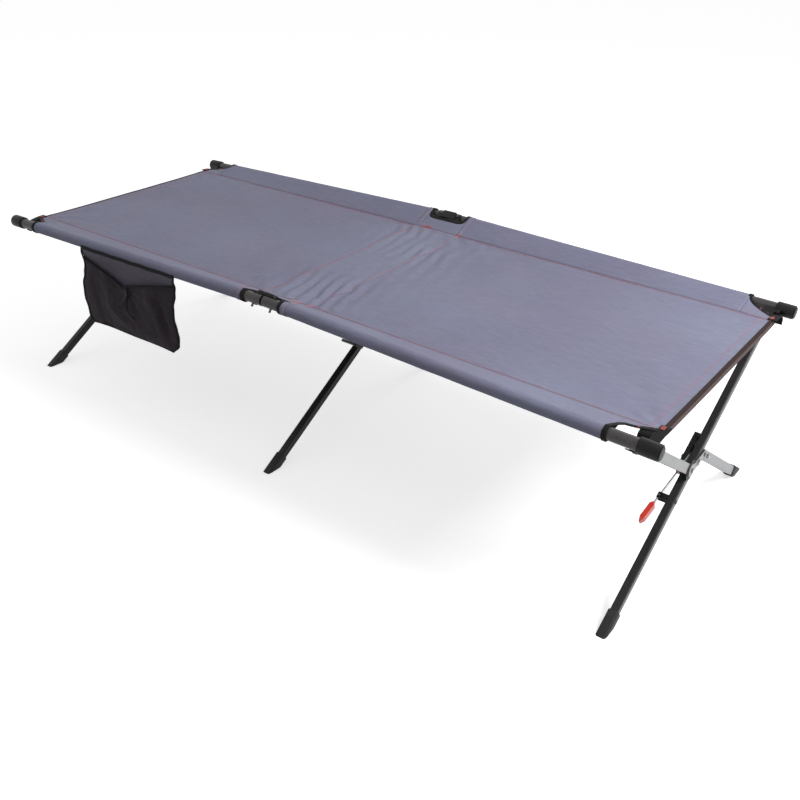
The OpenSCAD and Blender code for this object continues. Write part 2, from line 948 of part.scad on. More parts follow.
module cord_lock_shape() {
    at_cord_lock()
        difference() {
            z_cylinder(-cord_lock_h / 2, cord_lock_h / 2, cord_lock_r);
            z_cylinder(0, cord_lock_h, button_r + fit);
        }
}

module cord_lock_button_shape() {
    at_cord_lock()
        z_cylinder(button_travel + gap, cord_lock_h / 2 + button_travel + gap, button_r);
}

// The two loose ends of the drawcord: points from the lock down, and a swept tube.
tail_a = [
    [2, 0, 0], [2, 0, -7], [0, 1, -16], [-4, 1, -27], [-7, 1, -39], [-7, 1, -50], [-2, 1, -59],
    [7, 1, -65], [17, 0, -68]
];
tail_b = [
    [-2, 0, 0], [-2, 0, -7], [-6, 1, -14], [-14, 1, -23], [-24, 1, -32], [-35, 1, -41], [-46, 0, -49]
];
cord_sides = 8;

function heading(points, i) =
    let (step = points[min(i + 1, len(points) - 1)] - points[max(i - 1, 0)])
    step / norm(step);

function ring(points, i) =
    let (t = heading(points, i), side = cross(t, [0, 1, 0]), u = side / norm(side), v = cross(t, u))
    [for (k = [0:cord_sides - 1])
        let (a = 360 * k / cord_sides)
        points[i] + cord_d / 2 * (cos(a) * u + sin(a) * v)];

module swept_tube(points) {
    last = len(points) - 1;
    n = cord_sides;
    polyhedron(
        [for (i = [0:last]) each ring(points, i)],
        concat(
            [[for (k = [0:n - 1]) k]],
            [[for (k = [n - 1:-1:0]) last * n + k]],
            [for (i = [0:last - 1], k = [0:n - 1])
                let (j = (k + 1) % n)
                [i * n + k, (i + 1) * n + k, (i + 1) * n + j, i * n + j]]));
}

// ---------- Nodes ----------

module near_rail_head() { color("dimgray") near_side() rail_shape(-1); }
module near_rail_foot() { color("dimgray") near_side() rail_shape(1); }
module near_hinge_bracket() { color("black") near_side() hinge_bracket_shape(middle_leg_b_x); }
module near_hinge_pins() { color("dimgray") near_side() hinge_pins_shape(); }
module near_bracket_head() { color("black") near_side() end_bracket_shape(-1, head_leg_b_x, lean, leg_d); }
module near_bracket_foot() { color("black") near_side() end_bracket_shape(1, lock_legs_x, arm_lean, arm_d); }
module near_end_plugs() {
    color("black")
        near_side()
            for (side = [-1, 1]) end_plug_shape(side);
}
module near_leg_rivets() {
    color("silver")
        near_side() {
            leg_rivet_shape(head_leg_b_x);
            middle_leg_rivet_shape(middle_leg_b_x);
            arm_rivet_shape();
        }
}
module head_leg_b() { color("dimgray") near_side() leg_shape(head_leg_b_x); }
module middle_leg_b() { color("dimgray") near_side() bent_leg_shape(middle_leg_b_x); }
module upper_arm() { color("silver") near_side() upper_arm_shape(); }
module lower_arm() { color("silver") near_side() lower_arm_shape(); }
module link_plate_outer() { color("silver") near_side() link_plate_shape(outer_plate_x, outer_face_x); }
module link_plate_inner() { color("silver") near_side() link_plate_shape(inner_face_x, -beside_leg); }
module pivot_disc() { color("black") near_side() pivot_disc_shape(); }
module link_rivets() { color("silver") near_side() link_rivets_shape(); }
module snap_button() { color("silver") near_side() snap_button_shape(); }
module head_boot_b() { color("black") near_side() boot_shape(head_leg_b_x); }
module middle_boot_b() { color("black") near_side() boot_shape(middle_leg_b_x); }
module arm_boot() { color("black") near_side() arm_boot_shape(); }

module far_rail_head() { color("dimgray") rail_shape(-1); }
module far_rail_foot() { color("dimgray") rail_shape(1); }
module far_hinge_bracket() { color("black") hinge_bracket_shape(middle_leg_x); }
module far_hinge_pins() { color("dimgray") hinge_pins_shape(); }
module far_bracket_head() { color("black") end_bracket_shape(-1, head_legs_x, lean, leg_d); }
module far_bracket_foot() { color("black") end_bracket_shape(1, lock_legs_x, lean, leg_d); }
module far_end_plugs() {
    color("black")
        for (side = [-1, 1]) end_plug_shape(side);
}
module far_leg_rivets() {
    color("silver")
        union() {
            for (x = [head_legs_x, lock_legs_x]) leg_rivet_shape(x);
            middle_leg_rivet_shape(middle_leg_x);
        }
}
module head_leg_a() { color("dimgray") leg_shape(head_legs_x); }
module middle_leg_a() {
    color("dimgray")
        difference() {
            bent_leg_shape(middle_leg_x);
            stop_screw_shank(fit);
        }
}
module stop_bar() { color("silver") stop_bar_shape(); }
module stop_screw() { color("black") stop_screw_shape(); }
module lock_leg_a() {
    color("dimgray")
        difference() {
            leg_shape(lock_legs_x);
            along_leg(lock_legs_x)
                translate([0, -lever_pivot_along, 0])
                    x_cylinder(-leg_w, leg_w, rivet_r + fit);
        }
}
module head_boot_a() { color("black") boot_shape(head_legs_x); }
module middle_boot_a() { color("black") boot_shape(middle_leg_x); }
module lock_boot_a() { color("black") boot_shape(lock_legs_x); }
module head_pivot_bolt() {
    color("silver") pivot_bolt_shape(head_legs_x, -leg_w / 2, leg_w / 2 + pair_step + gap);
}
module middle_pivot_bolt() {
    color("silver") pivot_bolt_shape(middle_leg_x, -leg_w / 2 - pair_step - gap, leg_w / 2);
}
module lock_pivot_bolt() {
    color("silver") pivot_bolt_shape(lock_legs_x, housing_x - housing_t, outer_face_x + gap);
}
module cross_washers() {
    color("black")
        union() {
            cross_washer_shape(head_legs_x, 1);
            cross_washer_shape(middle_leg_x, -1);
        }
}
module latch_housing() { color("black") latch_housing_shape(); }
module lever_clip() { color("black") lever_clip_shape(); }
module lever_pin() { color("silver") lever_pin_shape(); }
module clip_rivet() { color("black") clip_rivet_shape(); }
module release_lever() { color("silver") release_lever_shape(); }
module release_grip() { color("red") release_grip_shape(); }
module latch_tongue() { color("red") latch_tongue_shape(); }

module deck() {
    color("slategray") {
        sheet_half(-1, deck_head_inset);
        sheet_half(1, deck_foot_inset);
        for (side = [-1, 1]) {
            sleeve(side);
            near_side() sleeve(side);
        }
        hinge_flap();
        near_side() hinge_flap();
    }
}
module pocket_back() { color("darkslategray") pocket_back_shape(); }
module pocket_front() { color("darkslategray") pocket_front_shape(); }
module cord_lock() { color("black") cord_lock_shape(); }
module cord_lock_button() { color("dimgray") cord_lock_button_shape(); }
module cord_tails() {
    color("black")
        at_cord_lock()
            translate([0, 0, -cord_lock_h / 2]) {
                swept_tube(tail_a);
                swept_tube(tail_b);
            }
}

near_rail_head();
near_rail_foot();
near_hinge_bracket();
near_hinge_pins();
near_bracket_head();
near_bracket_foot();
near_end_plugs();
near_leg_rivets();
head_leg_b();
middle_leg_b();
upper_arm();
lower_arm();
link_plate_outer();
link_plate_inner();
pivot_disc();
link_rivets();
snap_button();
head_boot_b();
middle_boot_b();
arm_boot();
far_rail_head();
far_rail_foot();
far_hinge_bracket();
far_hinge_pins();
far_bracket_head();
far_bracket_foot();
far_end_plugs();
far_leg_rivets();
head_leg_a();
middle_leg_a();
lock_leg_a();
head_boot_a();
middle_boot_a();
lock_boot_a();
stop_bar();
stop_screw();
head_pivot_bolt();
middle_pivot_bolt();
lock_pivot_bolt();
cross_washers();
latch_housing();
lever_clip();
lever_pin();
clip_rivet();
release_lever();
release_grip();
latch_tongue();
deck();
pocket_back();
pocket_front();
cord_lock();
cord_lock_button();
cord_tails();
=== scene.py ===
"""Looks of the folding cot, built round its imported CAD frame.

Metres, +X along the bed towards the lever end, +Y to its far side, the floor at Z = 0.
"""
import json
import math

import bmesh
import bpy
from mathutils import Matrix, Vector, noise


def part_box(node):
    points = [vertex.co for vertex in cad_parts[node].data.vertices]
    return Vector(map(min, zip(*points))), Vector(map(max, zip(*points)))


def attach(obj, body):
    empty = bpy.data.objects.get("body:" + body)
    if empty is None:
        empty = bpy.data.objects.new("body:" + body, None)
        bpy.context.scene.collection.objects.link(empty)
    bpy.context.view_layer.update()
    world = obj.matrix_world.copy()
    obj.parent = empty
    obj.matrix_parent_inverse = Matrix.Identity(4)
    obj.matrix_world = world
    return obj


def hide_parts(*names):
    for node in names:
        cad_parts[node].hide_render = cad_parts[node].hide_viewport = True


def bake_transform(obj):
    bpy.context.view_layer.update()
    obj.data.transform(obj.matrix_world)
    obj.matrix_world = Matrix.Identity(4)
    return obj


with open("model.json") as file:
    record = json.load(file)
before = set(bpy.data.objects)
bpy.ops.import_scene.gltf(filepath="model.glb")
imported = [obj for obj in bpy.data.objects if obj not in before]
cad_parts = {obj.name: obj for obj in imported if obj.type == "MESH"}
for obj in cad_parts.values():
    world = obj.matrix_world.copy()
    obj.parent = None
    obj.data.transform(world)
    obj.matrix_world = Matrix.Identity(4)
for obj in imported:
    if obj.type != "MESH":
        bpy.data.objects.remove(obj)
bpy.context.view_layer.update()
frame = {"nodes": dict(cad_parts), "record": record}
MM = 0.001

# ---------- Places taken from the frame ----------

rail_low, rail_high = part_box("far_rail_foot")
head_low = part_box("far_rail_head")[0]
RAIL_Y = (rail_low.y + rail_high.y) / 2
RAIL_R = (rail_high.y - rail_low.y) / 2
hinge_low, hinge_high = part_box("far_hinge_bracket")
HINGE_X = (hinge_low.x + hinge_high.x) / 2
HINGE_Z = rail_high.z - RAIL_R
SLOPE = {-1: (HINGE_Z - rail_low.z - RAIL_R) / (HINGE_X - head_low.x),
         1: (HINGE_Z - rail_low.z - RAIL_R) / (rail_high.x - HINGE_X)}
DECK_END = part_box("deck")[1].x

# Driving sizes of the deck and the pocket, as in the part.
SEAM_Y = RAIL_Y - 80 * MM
SLEEVE_START = 69 * MM
SLEEVE_END = 965 * MM
SHEET_Z = 509 * MM
SHEET_RISE = 6 * MM
CORD_D = 3 * MM
POCKET_X = -515 * MM
POCKET_FACE = RAIL_R + 2.3 * MM
POCKET_H = 240 * MM
POCKET_TOP = -16.6 * MM

# Sizes of the looks alone.
HINGE_EDGE_Y = RAIL_Y - 34 * MM
CLOTH = 1.0 * MM
SLEEVE_R = RAIL_R + 0.9 * MM

UP = Vector((0, 0, 1))
OUTWARD = Vector((0, -1, 0))
SIDES = ((-1, "near"), (1, "far"))
HALVES = ((-1, "head"), (1, "foot"))


def rail_z(x):
    """Height of the rail's axis."""
    return HINGE_Z - abs(x - HINGE_X) * SLOPE[1 if x > HINGE_X else -1]


def rail_point(x, out, up, side):
    """A point in the tilted frame of a rail: x along it, out from its axis and up from it."""
    end = 1 if x > HINGE_X else -1
    turned = Matrix.Rotation(end * math.atan(SLOPE[end]), 3, "Y") @ Vector((x - HINGE_X, 0, up))
    return Vector((HINGE_X + turned.x, side * (RAIL_Y + out), HINGE_Z + turned.z))


# ---------- Camera, fitted to the photo ----------

FOCAL = 40.9
SENSOR = 36.0
FAR_CLIP = 60
CAMERA_AT = (1.563, -1.8824, 1.4596)
YAW, PITCH, ROLL = (math.radians(a) for a in (-37.17, 29.96, 0.63))


def make_camera():
    """The camera, turned by its yaw, then down by its pitch, then by its roll."""
    data = bpy.data.cameras.new("camera")
    data.lens = FOCAL
    data.sensor_width = SENSOR
    data.clip_end = FAR_CLIP
    camera = bpy.data.objects.new("camera", data)
    bpy.context.scene.collection.objects.link(camera)
    forward = Vector((math.cos(PITCH) * math.sin(YAW), math.cos(PITCH) * math.cos(YAW),
                      -math.sin(PITCH)))
    level = Vector((math.cos(YAW), -math.sin(YAW), 0))
    upright = level.cross(forward)
    right = math.cos(ROLL) * level + math.sin(ROLL) * upright
    up = -math.sin(ROLL) * level + math.cos(ROLL) * upright
    turn = Matrix((right, up, -forward)).transposed().to_4x4()
    camera.matrix_world = Matrix.Translation(CAMERA_AT) @ turn
    bpy.context.scene.camera = camera


make_camera()

# ---------- Mesh helpers ----------


def new_mesh(name, verts, faces, smooth=True):
    """A new mesh object in the scene."""
    mesh = bpy.data.meshes.new(name)
    mesh.from_pydata([tuple(v) for v in verts], [], faces)
    mesh.update()
    if smooth:
        mesh.shade_smooth()
    obj = bpy.data.objects.new(name, mesh)
    bpy.context.scene.collection.objects.link(obj)
    return obj


def dress(obj, material, body=None):
    """Gives a piece its material, and lets it ride on a body."""
    obj.data.materials.clear()
    obj.data.materials.append(material)
    if body:
        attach(obj, body)
    return obj


def apply_modifiers(obj):
    """Bakes an object's modifiers into its mesh."""
    bpy.context.view_layer.update()
    done = obj.evaluated_get(bpy.context.evaluated_depsgraph_get())
    mesh = bpy.data.meshes.new_from_object(done)
    obj.modifiers.clear()
    obj.data = mesh


def thicken(obj, thickness, offset=0.0):
    """Turns a single-sided cloth into one of a real thickness."""
    solid = obj.modifiers.new("thickness", "SOLIDIFY")
    solid.thickness = thickness
    solid.offset = offset
    apply_modifiers(obj)


def skin_faces(rings, count, closed=True, base=0):
    """The faces of a skin over rings of count points each. Closed rings get ends."""
    last = base + (rings - 1) * count
    faces = []
    for at in range(base, last, count):
        for k in range(count if closed else count - 1):
            j = (k + 1) % count
            faces.append((at + k, at + j, at + count + j, at + count + k))
    if closed:
        faces.append(tuple(base + k for k in reversed(range(count))))
        faces.append(tuple(last + k for k in range(count)))
    return faces


def sweep(name, rings, closed=True):
    """Joins rings of points, each as long as the next, into one skin."""
    verts = [p for ring in rings for p in ring]
    return new_mesh(name, verts, skin_faces(len(rings), len(rings[0]), closed))


def smooth_path(points, per_span):
    """A Catmull-Rom curve through points, with per_span steps from each to the next."""
    ends = [points[0] * 2 - points[1]] + list(points) + [points[-1] * 2 - points[-2]]
    path = []
    for i in range(1, len(ends) - 2):
        a, b, c, d = ends[i - 1:i + 3]
        for k in range(per_span):
            t = k / per_span
            path.append(0.5 * (2 * b + (c - a) * t + (2 * a - 5 * b + 4 * c - d) * t * t
                               + (3 * b - a - 3 * c + d) * t ** 3))
    path.append(points[-1])
    return path


def along(points, i):
    """The direction of a path at one of its points."""
    return (points[min(i + 1, len(points) - 1)] - points[max(i - 1, 0)]).normalized()


DOME = 0.6  # of a cord's radius, at its very ends
OFF_AXIS = Vector((0.13, 1, 0.07))  # a direction that no cord starts along


def tube(name, points, radius, sides):
    """A round tube along a path, with domed ends."""
    rings = []
    last = len(points) - 1
    side = along(points, 0).cross(OFF_AXIS).normalized()
    for i, p in enumerate(points):
        t = along(points, i)
        side = (side - t * side.dot(t)).normalized()
        other = t.cross(side)
        shrink = DOME if i in (0, last) else 1.0
        rings.append([p + radius * shrink * (math.cos(a) * side + math.sin(a) * other)
                      for a in (2 * math.pi * k / sides for k in range(sides))])
    return sweep(name, rings)


def ribbon(name, points, normals, width, thickness):
    """A flat band along a path, lying square to the normals given at its points."""
    half, low = width / 2, thickness / 2
    edge = half - low
    section = ((-half, 0), (-edge, -low), (-edge / 2, -low), (edge / 2, -low), (edge, -low),
               (half, 0), (edge, low), (edge / 2, low), (-edge / 2, low), (-edge, low))
    rings = []
    for i, p in enumerate(points):
        t = along(points, i)
        w = normals[i].normalized().cross(t).normalized()
        n = t.cross(w).normalized()
        rings.append([p + w * across + n * up for across, up in section])
    return sweep(name, rings)


def resample(points, normals, pitch):
    """Evenly spaced points with their normals and directions along a path."""
    found, walked, due = [], 0.0, 0.0
    for i in range(len(points) - 1):
        step = (points[i + 1] - points[i]).length
        while due <= walked + step and step > 0:
            t = (due - walked) / step
            normal = normals[i].lerp(normals[i + 1], t).normalized()
            found.append((points[i].lerp(points[i + 1], t), normal, along(points, i)))
            due += pitch
        walked += step
    return found


# A stitch's sections: place along it, share of its radius, and lift in radii.
STITCH_SHAPE = ((-0.5, 0.35, -0.5), (-0.3, 0.9, 0.25), (0, 1.0, 0.5), (0.3, 0.9, 0.25),
                (0.5, 0.35, -0.5))
STITCH_SIDES = 6
STITCH_PITCH = 5.2 * MM
STITCH_LENGTH = 3.6 * MM
STITCH_R = 0.48 * MM
STITCH_WANDER = 0.25 * MM
TACK_PITCH = 1.3 * MM
TACK_SLANT = 0.9 * MM
TACK_R = 0.65 * MM


class Thread:
    """Collects stitches into one mesh."""

    def __init__(self):
        self.verts, self.faces = [], []

    def stitch(self, centre, normal, heading, length, radius):
        """One short stitch, thick in its middle, whose ends dip into the cloth."""
        side = normal.cross(heading).normalized()
        base = len(self.verts)
        for t, r, lift in STITCH_SHAPE:
            middle = centre + heading * length * t + normal * radius * lift
            for k in range(STITCH_SIDES):
                a = 2 * math.pi * k / STITCH_SIDES
                out = math.cos(a) * side + math.sin(a) * normal
                self.verts.append(middle + radius * r * out)
        self.faces += skin_faces(len(STITCH_SHAPE), STITCH_SIDES, base=base)

    def rows(self, points, normals, offsets, radius=STITCH_R):
        """Rows of stitches along a path, each moved sideways by its offset."""
        for offset in offsets:
            for p, n, t in resample(points, normals, STITCH_PITCH):
                side = n.cross(t).normalized()
                wander = STITCH_WANDER * ripple(p.x * 3, p.y * 3, p.z, 0.02, 4.4)
                self.stitch(p + side * (offset + wander), n, t, STITCH_LENGTH, radius)

    def tack(self, centre, normal, heading, length, width):
        """A bar tack: close zigzag stitches over a short length."""
        side = normal.cross(heading).normalized()
        count = max(3, round(length / TACK_PITCH))
        for i in range(count):
            at = centre + heading * length * ((i + 0.5) / count - 0.5)
            slant = (side * width + heading * (TACK_SLANT if i % 2 else -TACK_SLANT)).normalized()
            self.stitch(at, normal, slant, width, TACK_R)

    def made(self, name):
        """The stitches as one object."""
        return new_mesh(name, self.verts, self.faces)


def ripple(x, y, z, scale, seed=0.0):
    """Smooth noise from -1 to 1 with features about scale across."""
    return noise.noise(Vector((x / scale + seed, y / scale - seed, z / scale + 7.3)))


def ease(t):
    """A smooth step from 0 to 1."""
    t = min(max(t, 0.0), 1.0)
    return t * t * (3 - 2 * t)


# ---------- The drawcord's loose ends ----------

LOCK_U = -12  # the cord lock's place across the pocket, in mm, as in the part
LOCK_X = POCKET_X + LOCK_U * MM
LOCK_OUT = POCKET_FACE + 5.3 * MM
LOCK_BOTTOM_UP = POCKET_TOP - 95 * MM
KNOT_TURN_R = 1.5 * MM
KNOT_CORD_R = 1.25 * MM
KNOT_DEPTH = 0.9 * MM
KNOT_STEPS = 12
KNOT_STEP = 1.05  # radians

# Each tail's route from the lock's bottom, in mm: towards the foot, outward, upward.
TAILS = {
    "drawcord_tail_a": [(2, 0, 0), (2, 0, -7), (0, 1, -16), (-4, 1, -27), (-7, 1, -39),
                        (-7, 1, -50), (-2, 1, -59), (7, 1, -65), (17, 0, -68)],
    "drawcord_tail_b": [(-2, 0, 0), (-2, 0, -7), (-6, 1, -14), (-14, 1, -23), (-24, 1, -32),
                        (-35, 1, -41), (-46, 0, -49)],
}


def lay_tail(name, route):
    """One end of the drawcord: out of the lock, down the pocket's front, a knot at its tip."""
    places = [rail_point(LOCK_X + x * MM, LOCK_OUT + y * MM, LOCK_BOTTOM_UP + z * MM, -1)
              for x, y, z in route]
    points = smooth_path(places, 4)
    cord = tube(name, points, CORD_D / 2, 12)
    heading = along(points, len(points) - 1)
    side = heading.cross(Vector((0, 1, 0))).normalized()
    lift = heading.cross(side)
    turns = []
    for k in range(KNOT_STEPS):
        out = math.cos(k * KNOT_STEP) * side + math.sin(k * KNOT_STEP) * lift
        turns.append(points[-1] + heading * (KNOT_DEPTH * (k / 5 - 1)) + KNOT_TURN_R * out)
    knot = tube(name + "_knot", turns, KNOT_CORD_R, 8)
    return cord, knot, points


laid = [lay_tail(name, route) for name, route in TAILS.items()]

# ---------- Materials ----------


class Nodes:
    """A short way to write a node material on a Principled shader."""

    def __init__(self, name):
        self.material = bpy.data.materials.new(name)
        self.material.use_nodes = True
        self.tree = self.material.node_tree
        self.shader = self.tree.nodes["Principled BSDF"]
        self.where = self.add("ShaderNodeTexCoord").outputs["Object"]

    def add(self, kind, **settings):
        """A new node with its settings."""
        node = self.tree.nodes.new(kind)
        for key, value in settings.items():
            setattr(node, key, value)
        return node

    def link(self, source, target):
        """Joins an output to an input."""
        self.tree.links.new(source, target)

    def fill(self, slot, value):
        """Gives an input a number or a colour, or links it to an output."""
        if isinstance(value, tuple):
            slot.default_value = (*value, 1)
        elif isinstance(value, (int, float)):
            slot.default_value = value
        else:
            self.link(value, slot)

    def scaled(self, size):
        """The piece's own coordinates, scaled along each axis."""
        node = self.add("ShaderNodeMapping")
        node.inputs["Scale"].default_value = size
        self.link(self.where, node.inputs["Vector"])
        return node.outputs["Vector"]

    def noise(self, scale, detail, rough=0.5, stretch=(1, 1, 1)):
        """Noise, finer with a larger scale."""
        node = self.add("ShaderNodeTexNoise")
        node.inputs["Scale"].default_value = scale
        node.inputs["Detail"].default_value = detail
        node.inputs["Roughness"].default_value = rough
        self.link(self.scaled(stretch), node.inputs["Vector"])
        return node.outputs["Fac"]

    def wave(self, scale, axis, distortion):
        """Bands across one axis."""
        node = self.add("ShaderNodeTexWave", wave_type="BANDS", bands_direction=axis)
        node.inputs["Scale"].default_value = scale
        node.inputs["Distortion"].default_value = distortion
        node.inputs["Detail"].default_value = 1.0
        self.link(self.where, node.inputs["Vector"])
        return node.outputs["Fac"]

    def math(self, operation, a, b):
        """A math node on two numbers or outputs."""
        node = self.add("ShaderNodeMath", operation=operation)
        for slot, value in zip(node.inputs, (a, b)):
            self.fill(slot, value)
        return node.outputs[0]

    def range(self, source, low, high, from_low=0.0, from_high=1.0):
        """Maps a value from its own range onto low to high."""
        node = self.add("ShaderNodeMapRange")
        self.link(source, node.inputs["Value"])
        for key, value in (("From Min", from_low), ("From Max", from_high),
                           ("To Min", low), ("To Max", high)):
            node.inputs[key].default_value = value
        return node.outputs["Result"]

    def colours(self, source, stops):
        """A colour ramp over a value, from its (place, colour) stops."""
        node = self.add("ShaderNodeValToRGB")
        ramp = node.color_ramp
        while len(ramp.elements) < len(stops):
            ramp.elements.new(0.5)
        for element, (place, colour) in zip(ramp.elements, stops):
            element.position = place
            element.color = (*colour, 1)
        self.link(source, node.inputs["Fac"])
        return node.outputs["Color"]

    def mix(self, factor, a, b):
        """Two colours mixed by a factor."""
        node = self.add("ShaderNodeMix", data_type="RGBA")
        for place, value in ((0, factor), (6, a), (7, b)):
            self.fill(node.inputs[place], value)
        return node.outputs[2]

    def bump(self, height, distance, strength, under=None):
        """A bump, over another normal if one is given."""
        node = self.add("ShaderNodeBump")
        node.inputs["Strength"].default_value = strength
        node.inputs["Distance"].default_value = distance
        self.link(height, node.inputs["Height"])
        if under is not None:
            self.link(under, node.inputs["Normal"])
        return node.outputs["Normal"]

    def set(self, **values):
        """Sets or links the shader's inputs, named with _ for a space."""
        for key, value in values.items():
            self.fill(self.shader.inputs[key.replace("_", " ")], value)


WAVE_DIVISOR = 6.28  # from a count of threads to the scale of a wave texture
WEAVE = 900.0
GRAIN_X = (0.02, 1, 1)
GRAIN_Z = (1, 1, 0.05)


def graded(colour, factor, lift=0.0):
    """A colour scaled and lifted."""
    return tuple(c * factor + lift for c in colour)


def edge_wear(n, base, worn, reach):
    """Lightens a colour where the surface is convex, in a broken pattern."""
    point = n.add("ShaderNodeNewGeometry").outputs["Pointiness"]
    edge = n.range(point, 0.0, reach, 0.52, 0.60)
    broken = n.math("MULTIPLY", edge, n.range(n.noise(180, 3), 0.2, 1.0))
    return n.mix(broken, base, worn)


def cloth_material(name, light, dark, tint):
    """Coarse plain-woven polyester: mottled colour, threads both ways and a little sheen."""
    n = Nodes(name)
    broad = n.noise(2.2, 3)
    fine = n.noise(900, 2, 0.6)
    shade = n.mix(n.range(broad, 0.0, 1.0, 0.35, 0.65), dark, light)
    shade = n.mix(n.range(n.noise(5.5, 4), 0.0, 0.5, 0.45, 0.75), shade, tint)
    scale = WEAVE / WAVE_DIVISOR
    threads = n.math("ADD", n.wave(scale, "X", 0.4), n.wave(scale, "Y", 0.4))
    slub = n.noise(260, 2, 0.5, (0.12, 1, 1))
    flecks = n.range(n.math("ADD", fine, slub), 0.86, 1.12, 0.7, 1.3)
    colour = n.add("ShaderNodeMix", data_type="RGBA", blend_type="MULTIPLY")
    colour.inputs[0].default_value = 1.0
    n.link(shade, colour.inputs[6])
    grey = n.add("ShaderNodeCombineColor")
    for socket in grey.inputs:
        n.link(flecks, socket)
    n.link(grey.outputs[0], colour.inputs[7])
    crumple = n.bump(n.noise(38, 5, 0.55), 0.0012, 0.35)
    knit = n.bump(threads, 0.00025, 0.5, crumple)
    n.set(Base_Color=colour.outputs[2], Roughness=n.range(fine, 0.62, 0.82), Normal=knit)
    n.set(Sheen_Weight=0.06, Sheen_Roughness=0.5, Specular_IOR_Level=0.3)
    return n.material


def webbing_material(name, base, rib=2.2):
    """Flat woven webbing with ribs across it, finer with a smaller rib."""
    n = Nodes(name)
    scale = 1000 / rib / WAVE_DIVISOR
    ribs = n.math("ADD", n.wave(scale, "X", 0.3), n.wave(scale, "Y", 0.3))
    lint = n.noise(420, 3, 0.6)
    n.set(Base_Color=n.mix(n.range(lint, 0.0, 1.0, 0.4, 0.7), base, graded(base, 2.0, 0.002)))
    n.set(Normal=n.bump(ribs, 0.0004, 0.6, n.bump(lint, 0.0003, 0.3)), Roughness=0.85)
    n.set(Sheen_Weight=0.06, Specular_IOR_Level=0.18)
    return n.material


def mesh_material():
    """Black knitted mesh: small open cells, darker threads and faint folds."""
    n = Nodes("pocket_mesh")
    cells = n.add("ShaderNodeTexVoronoi", feature="DISTANCE_TO_EDGE")
    cells.inputs["Scale"].default_value = 620
    n.link(n.where, cells.inputs["Vector"])
    threads = n.range(cells.outputs["Distance"], 1.0, 0.0, 0.16, 0.26)
    hues = n.colours(n.noise(9, 3), [(0.35, (0.024, 0.017, 0.025)), (0.7, (0.047, 0.036, 0.049))])
    n.set(Base_Color=hues, Roughness=0.8, Alpha=n.range(threads, 0.72, 1.0), Sheen_Weight=0.10)
    n.set(Specular_IOR_Level=0.2)
    n.set(Normal=n.bump(threads, 0.0003, 0.5, n.bump(n.noise(30, 4), 0.002, 0.3)))
    return n.material


def coat_material(name, base, rough, metallic=0.0):
    """Powder coat: a fine orange peel, faint smudges and rubbed edges."""
    n = Nodes(name)
    peel = n.noise(1400, 2, 0.5)
    smudge = n.noise(14, 5, 0.6)
    body = n.mix(n.range(smudge, 0.0, 0.8, 0.4, 0.7), base, graded(base, 1.5, 0.006))
    scuffs = n.noise(60, 6, 0.7, (0.2, 1, 1))
    body = n.mix(n.range(scuffs, 0.0, 0.5, 0.64, 0.78), body, graded(base, 2.2, 0.01))
    n.set(Base_Color=edge_wear(n, body, graded(base, 3, 0.03), 0.6), Metallic=metallic)
    n.set(Roughness=n.range(smudge, rough - 0.06, rough + 0.1), Normal=n.bump(peel, 0.0002, 0.35))
    n.set(Specular_IOR_Level=0.2)
    return n.material


def metal_material(name, base, rough, grain, metallic=1.0):
    """Brushed or drawn metal with its grain along one axis."""
    n = Nodes(name)
    lines = n.noise(900, 3, 0.6, grain)
    smudge = n.noise(22, 4, 0.6)
    streaks = n.range(lines, 0.0, 1.0, 0.35, 0.65)
    n.set(Base_Color=n.mix(streaks, graded(base, 0.82), base), Metallic=metallic)
    both = n.math("ADD", n.range(lines, -0.05, 0.08), n.range(smudge, rough - 0.05, rough + 0.08))
    n.set(Roughness=both, Normal=n.bump(lines, 0.00015, 0.3), Anisotropic=0.3)
    return n.material


def rubber_material():
    """Matt moulded rubber with patches of dust."""
    n = Nodes("rubber_black")
    pebble = n.noise(700, 3, 0.6)
    dust = n.noise(30, 5, 0.65)
    dusty = n.range(dust, 0.0, 0.7, 0.5, 0.8)
    n.set(Base_Color=n.mix(dusty, (0.012, 0.012, 0.012), (0.05, 0.048, 0.045)))
    n.set(Roughness=n.range(dust, 0.55, 0.8), Normal=n.bump(pebble, 0.0003, 0.5))
    n.set(Specular_IOR_Level=0.4)
    return n.material


def red_material():
    """Glossy red moulded plastic, a little lighter and worn on its edges."""
    n = Nodes("red_plastic")
    flow = n.noise(45, 4, 0.5)
    body = n.mix(n.range(flow, 0.0, 1.0, 0.35, 0.7), (0.72, 0.020, 0.010), (0.84, 0.038, 0.020))
    n.set(Base_Color=edge_wear(n, body, (0.88, 0.16, 0.10), 0.5))
    n.set(Roughness=n.range(flow, 0.24, 0.42), Normal=n.bump(n.noise(500, 2), 0.0002, 0.25))
    n.set(Coat_Weight=0.12, Coat_Roughness=0.2)
    return n.material


def thread_material(name, light, dark):
    """Twisted sewing thread."""
    n = Nodes(name)
    twist = n.wave(1800 / WAVE_DIVISOR, "DIAGONAL", 0.5)
    fade = n.noise(7, 3)
    n.set(Base_Color=n.mix(n.range(fade, 0.0, 1.0, 0.35, 0.65), dark, light))
    n.set(Roughness=0.6, Normal=n.bump(twist, 0.0003, 0.6), Sheen_Weight=0.3)
    return n.material


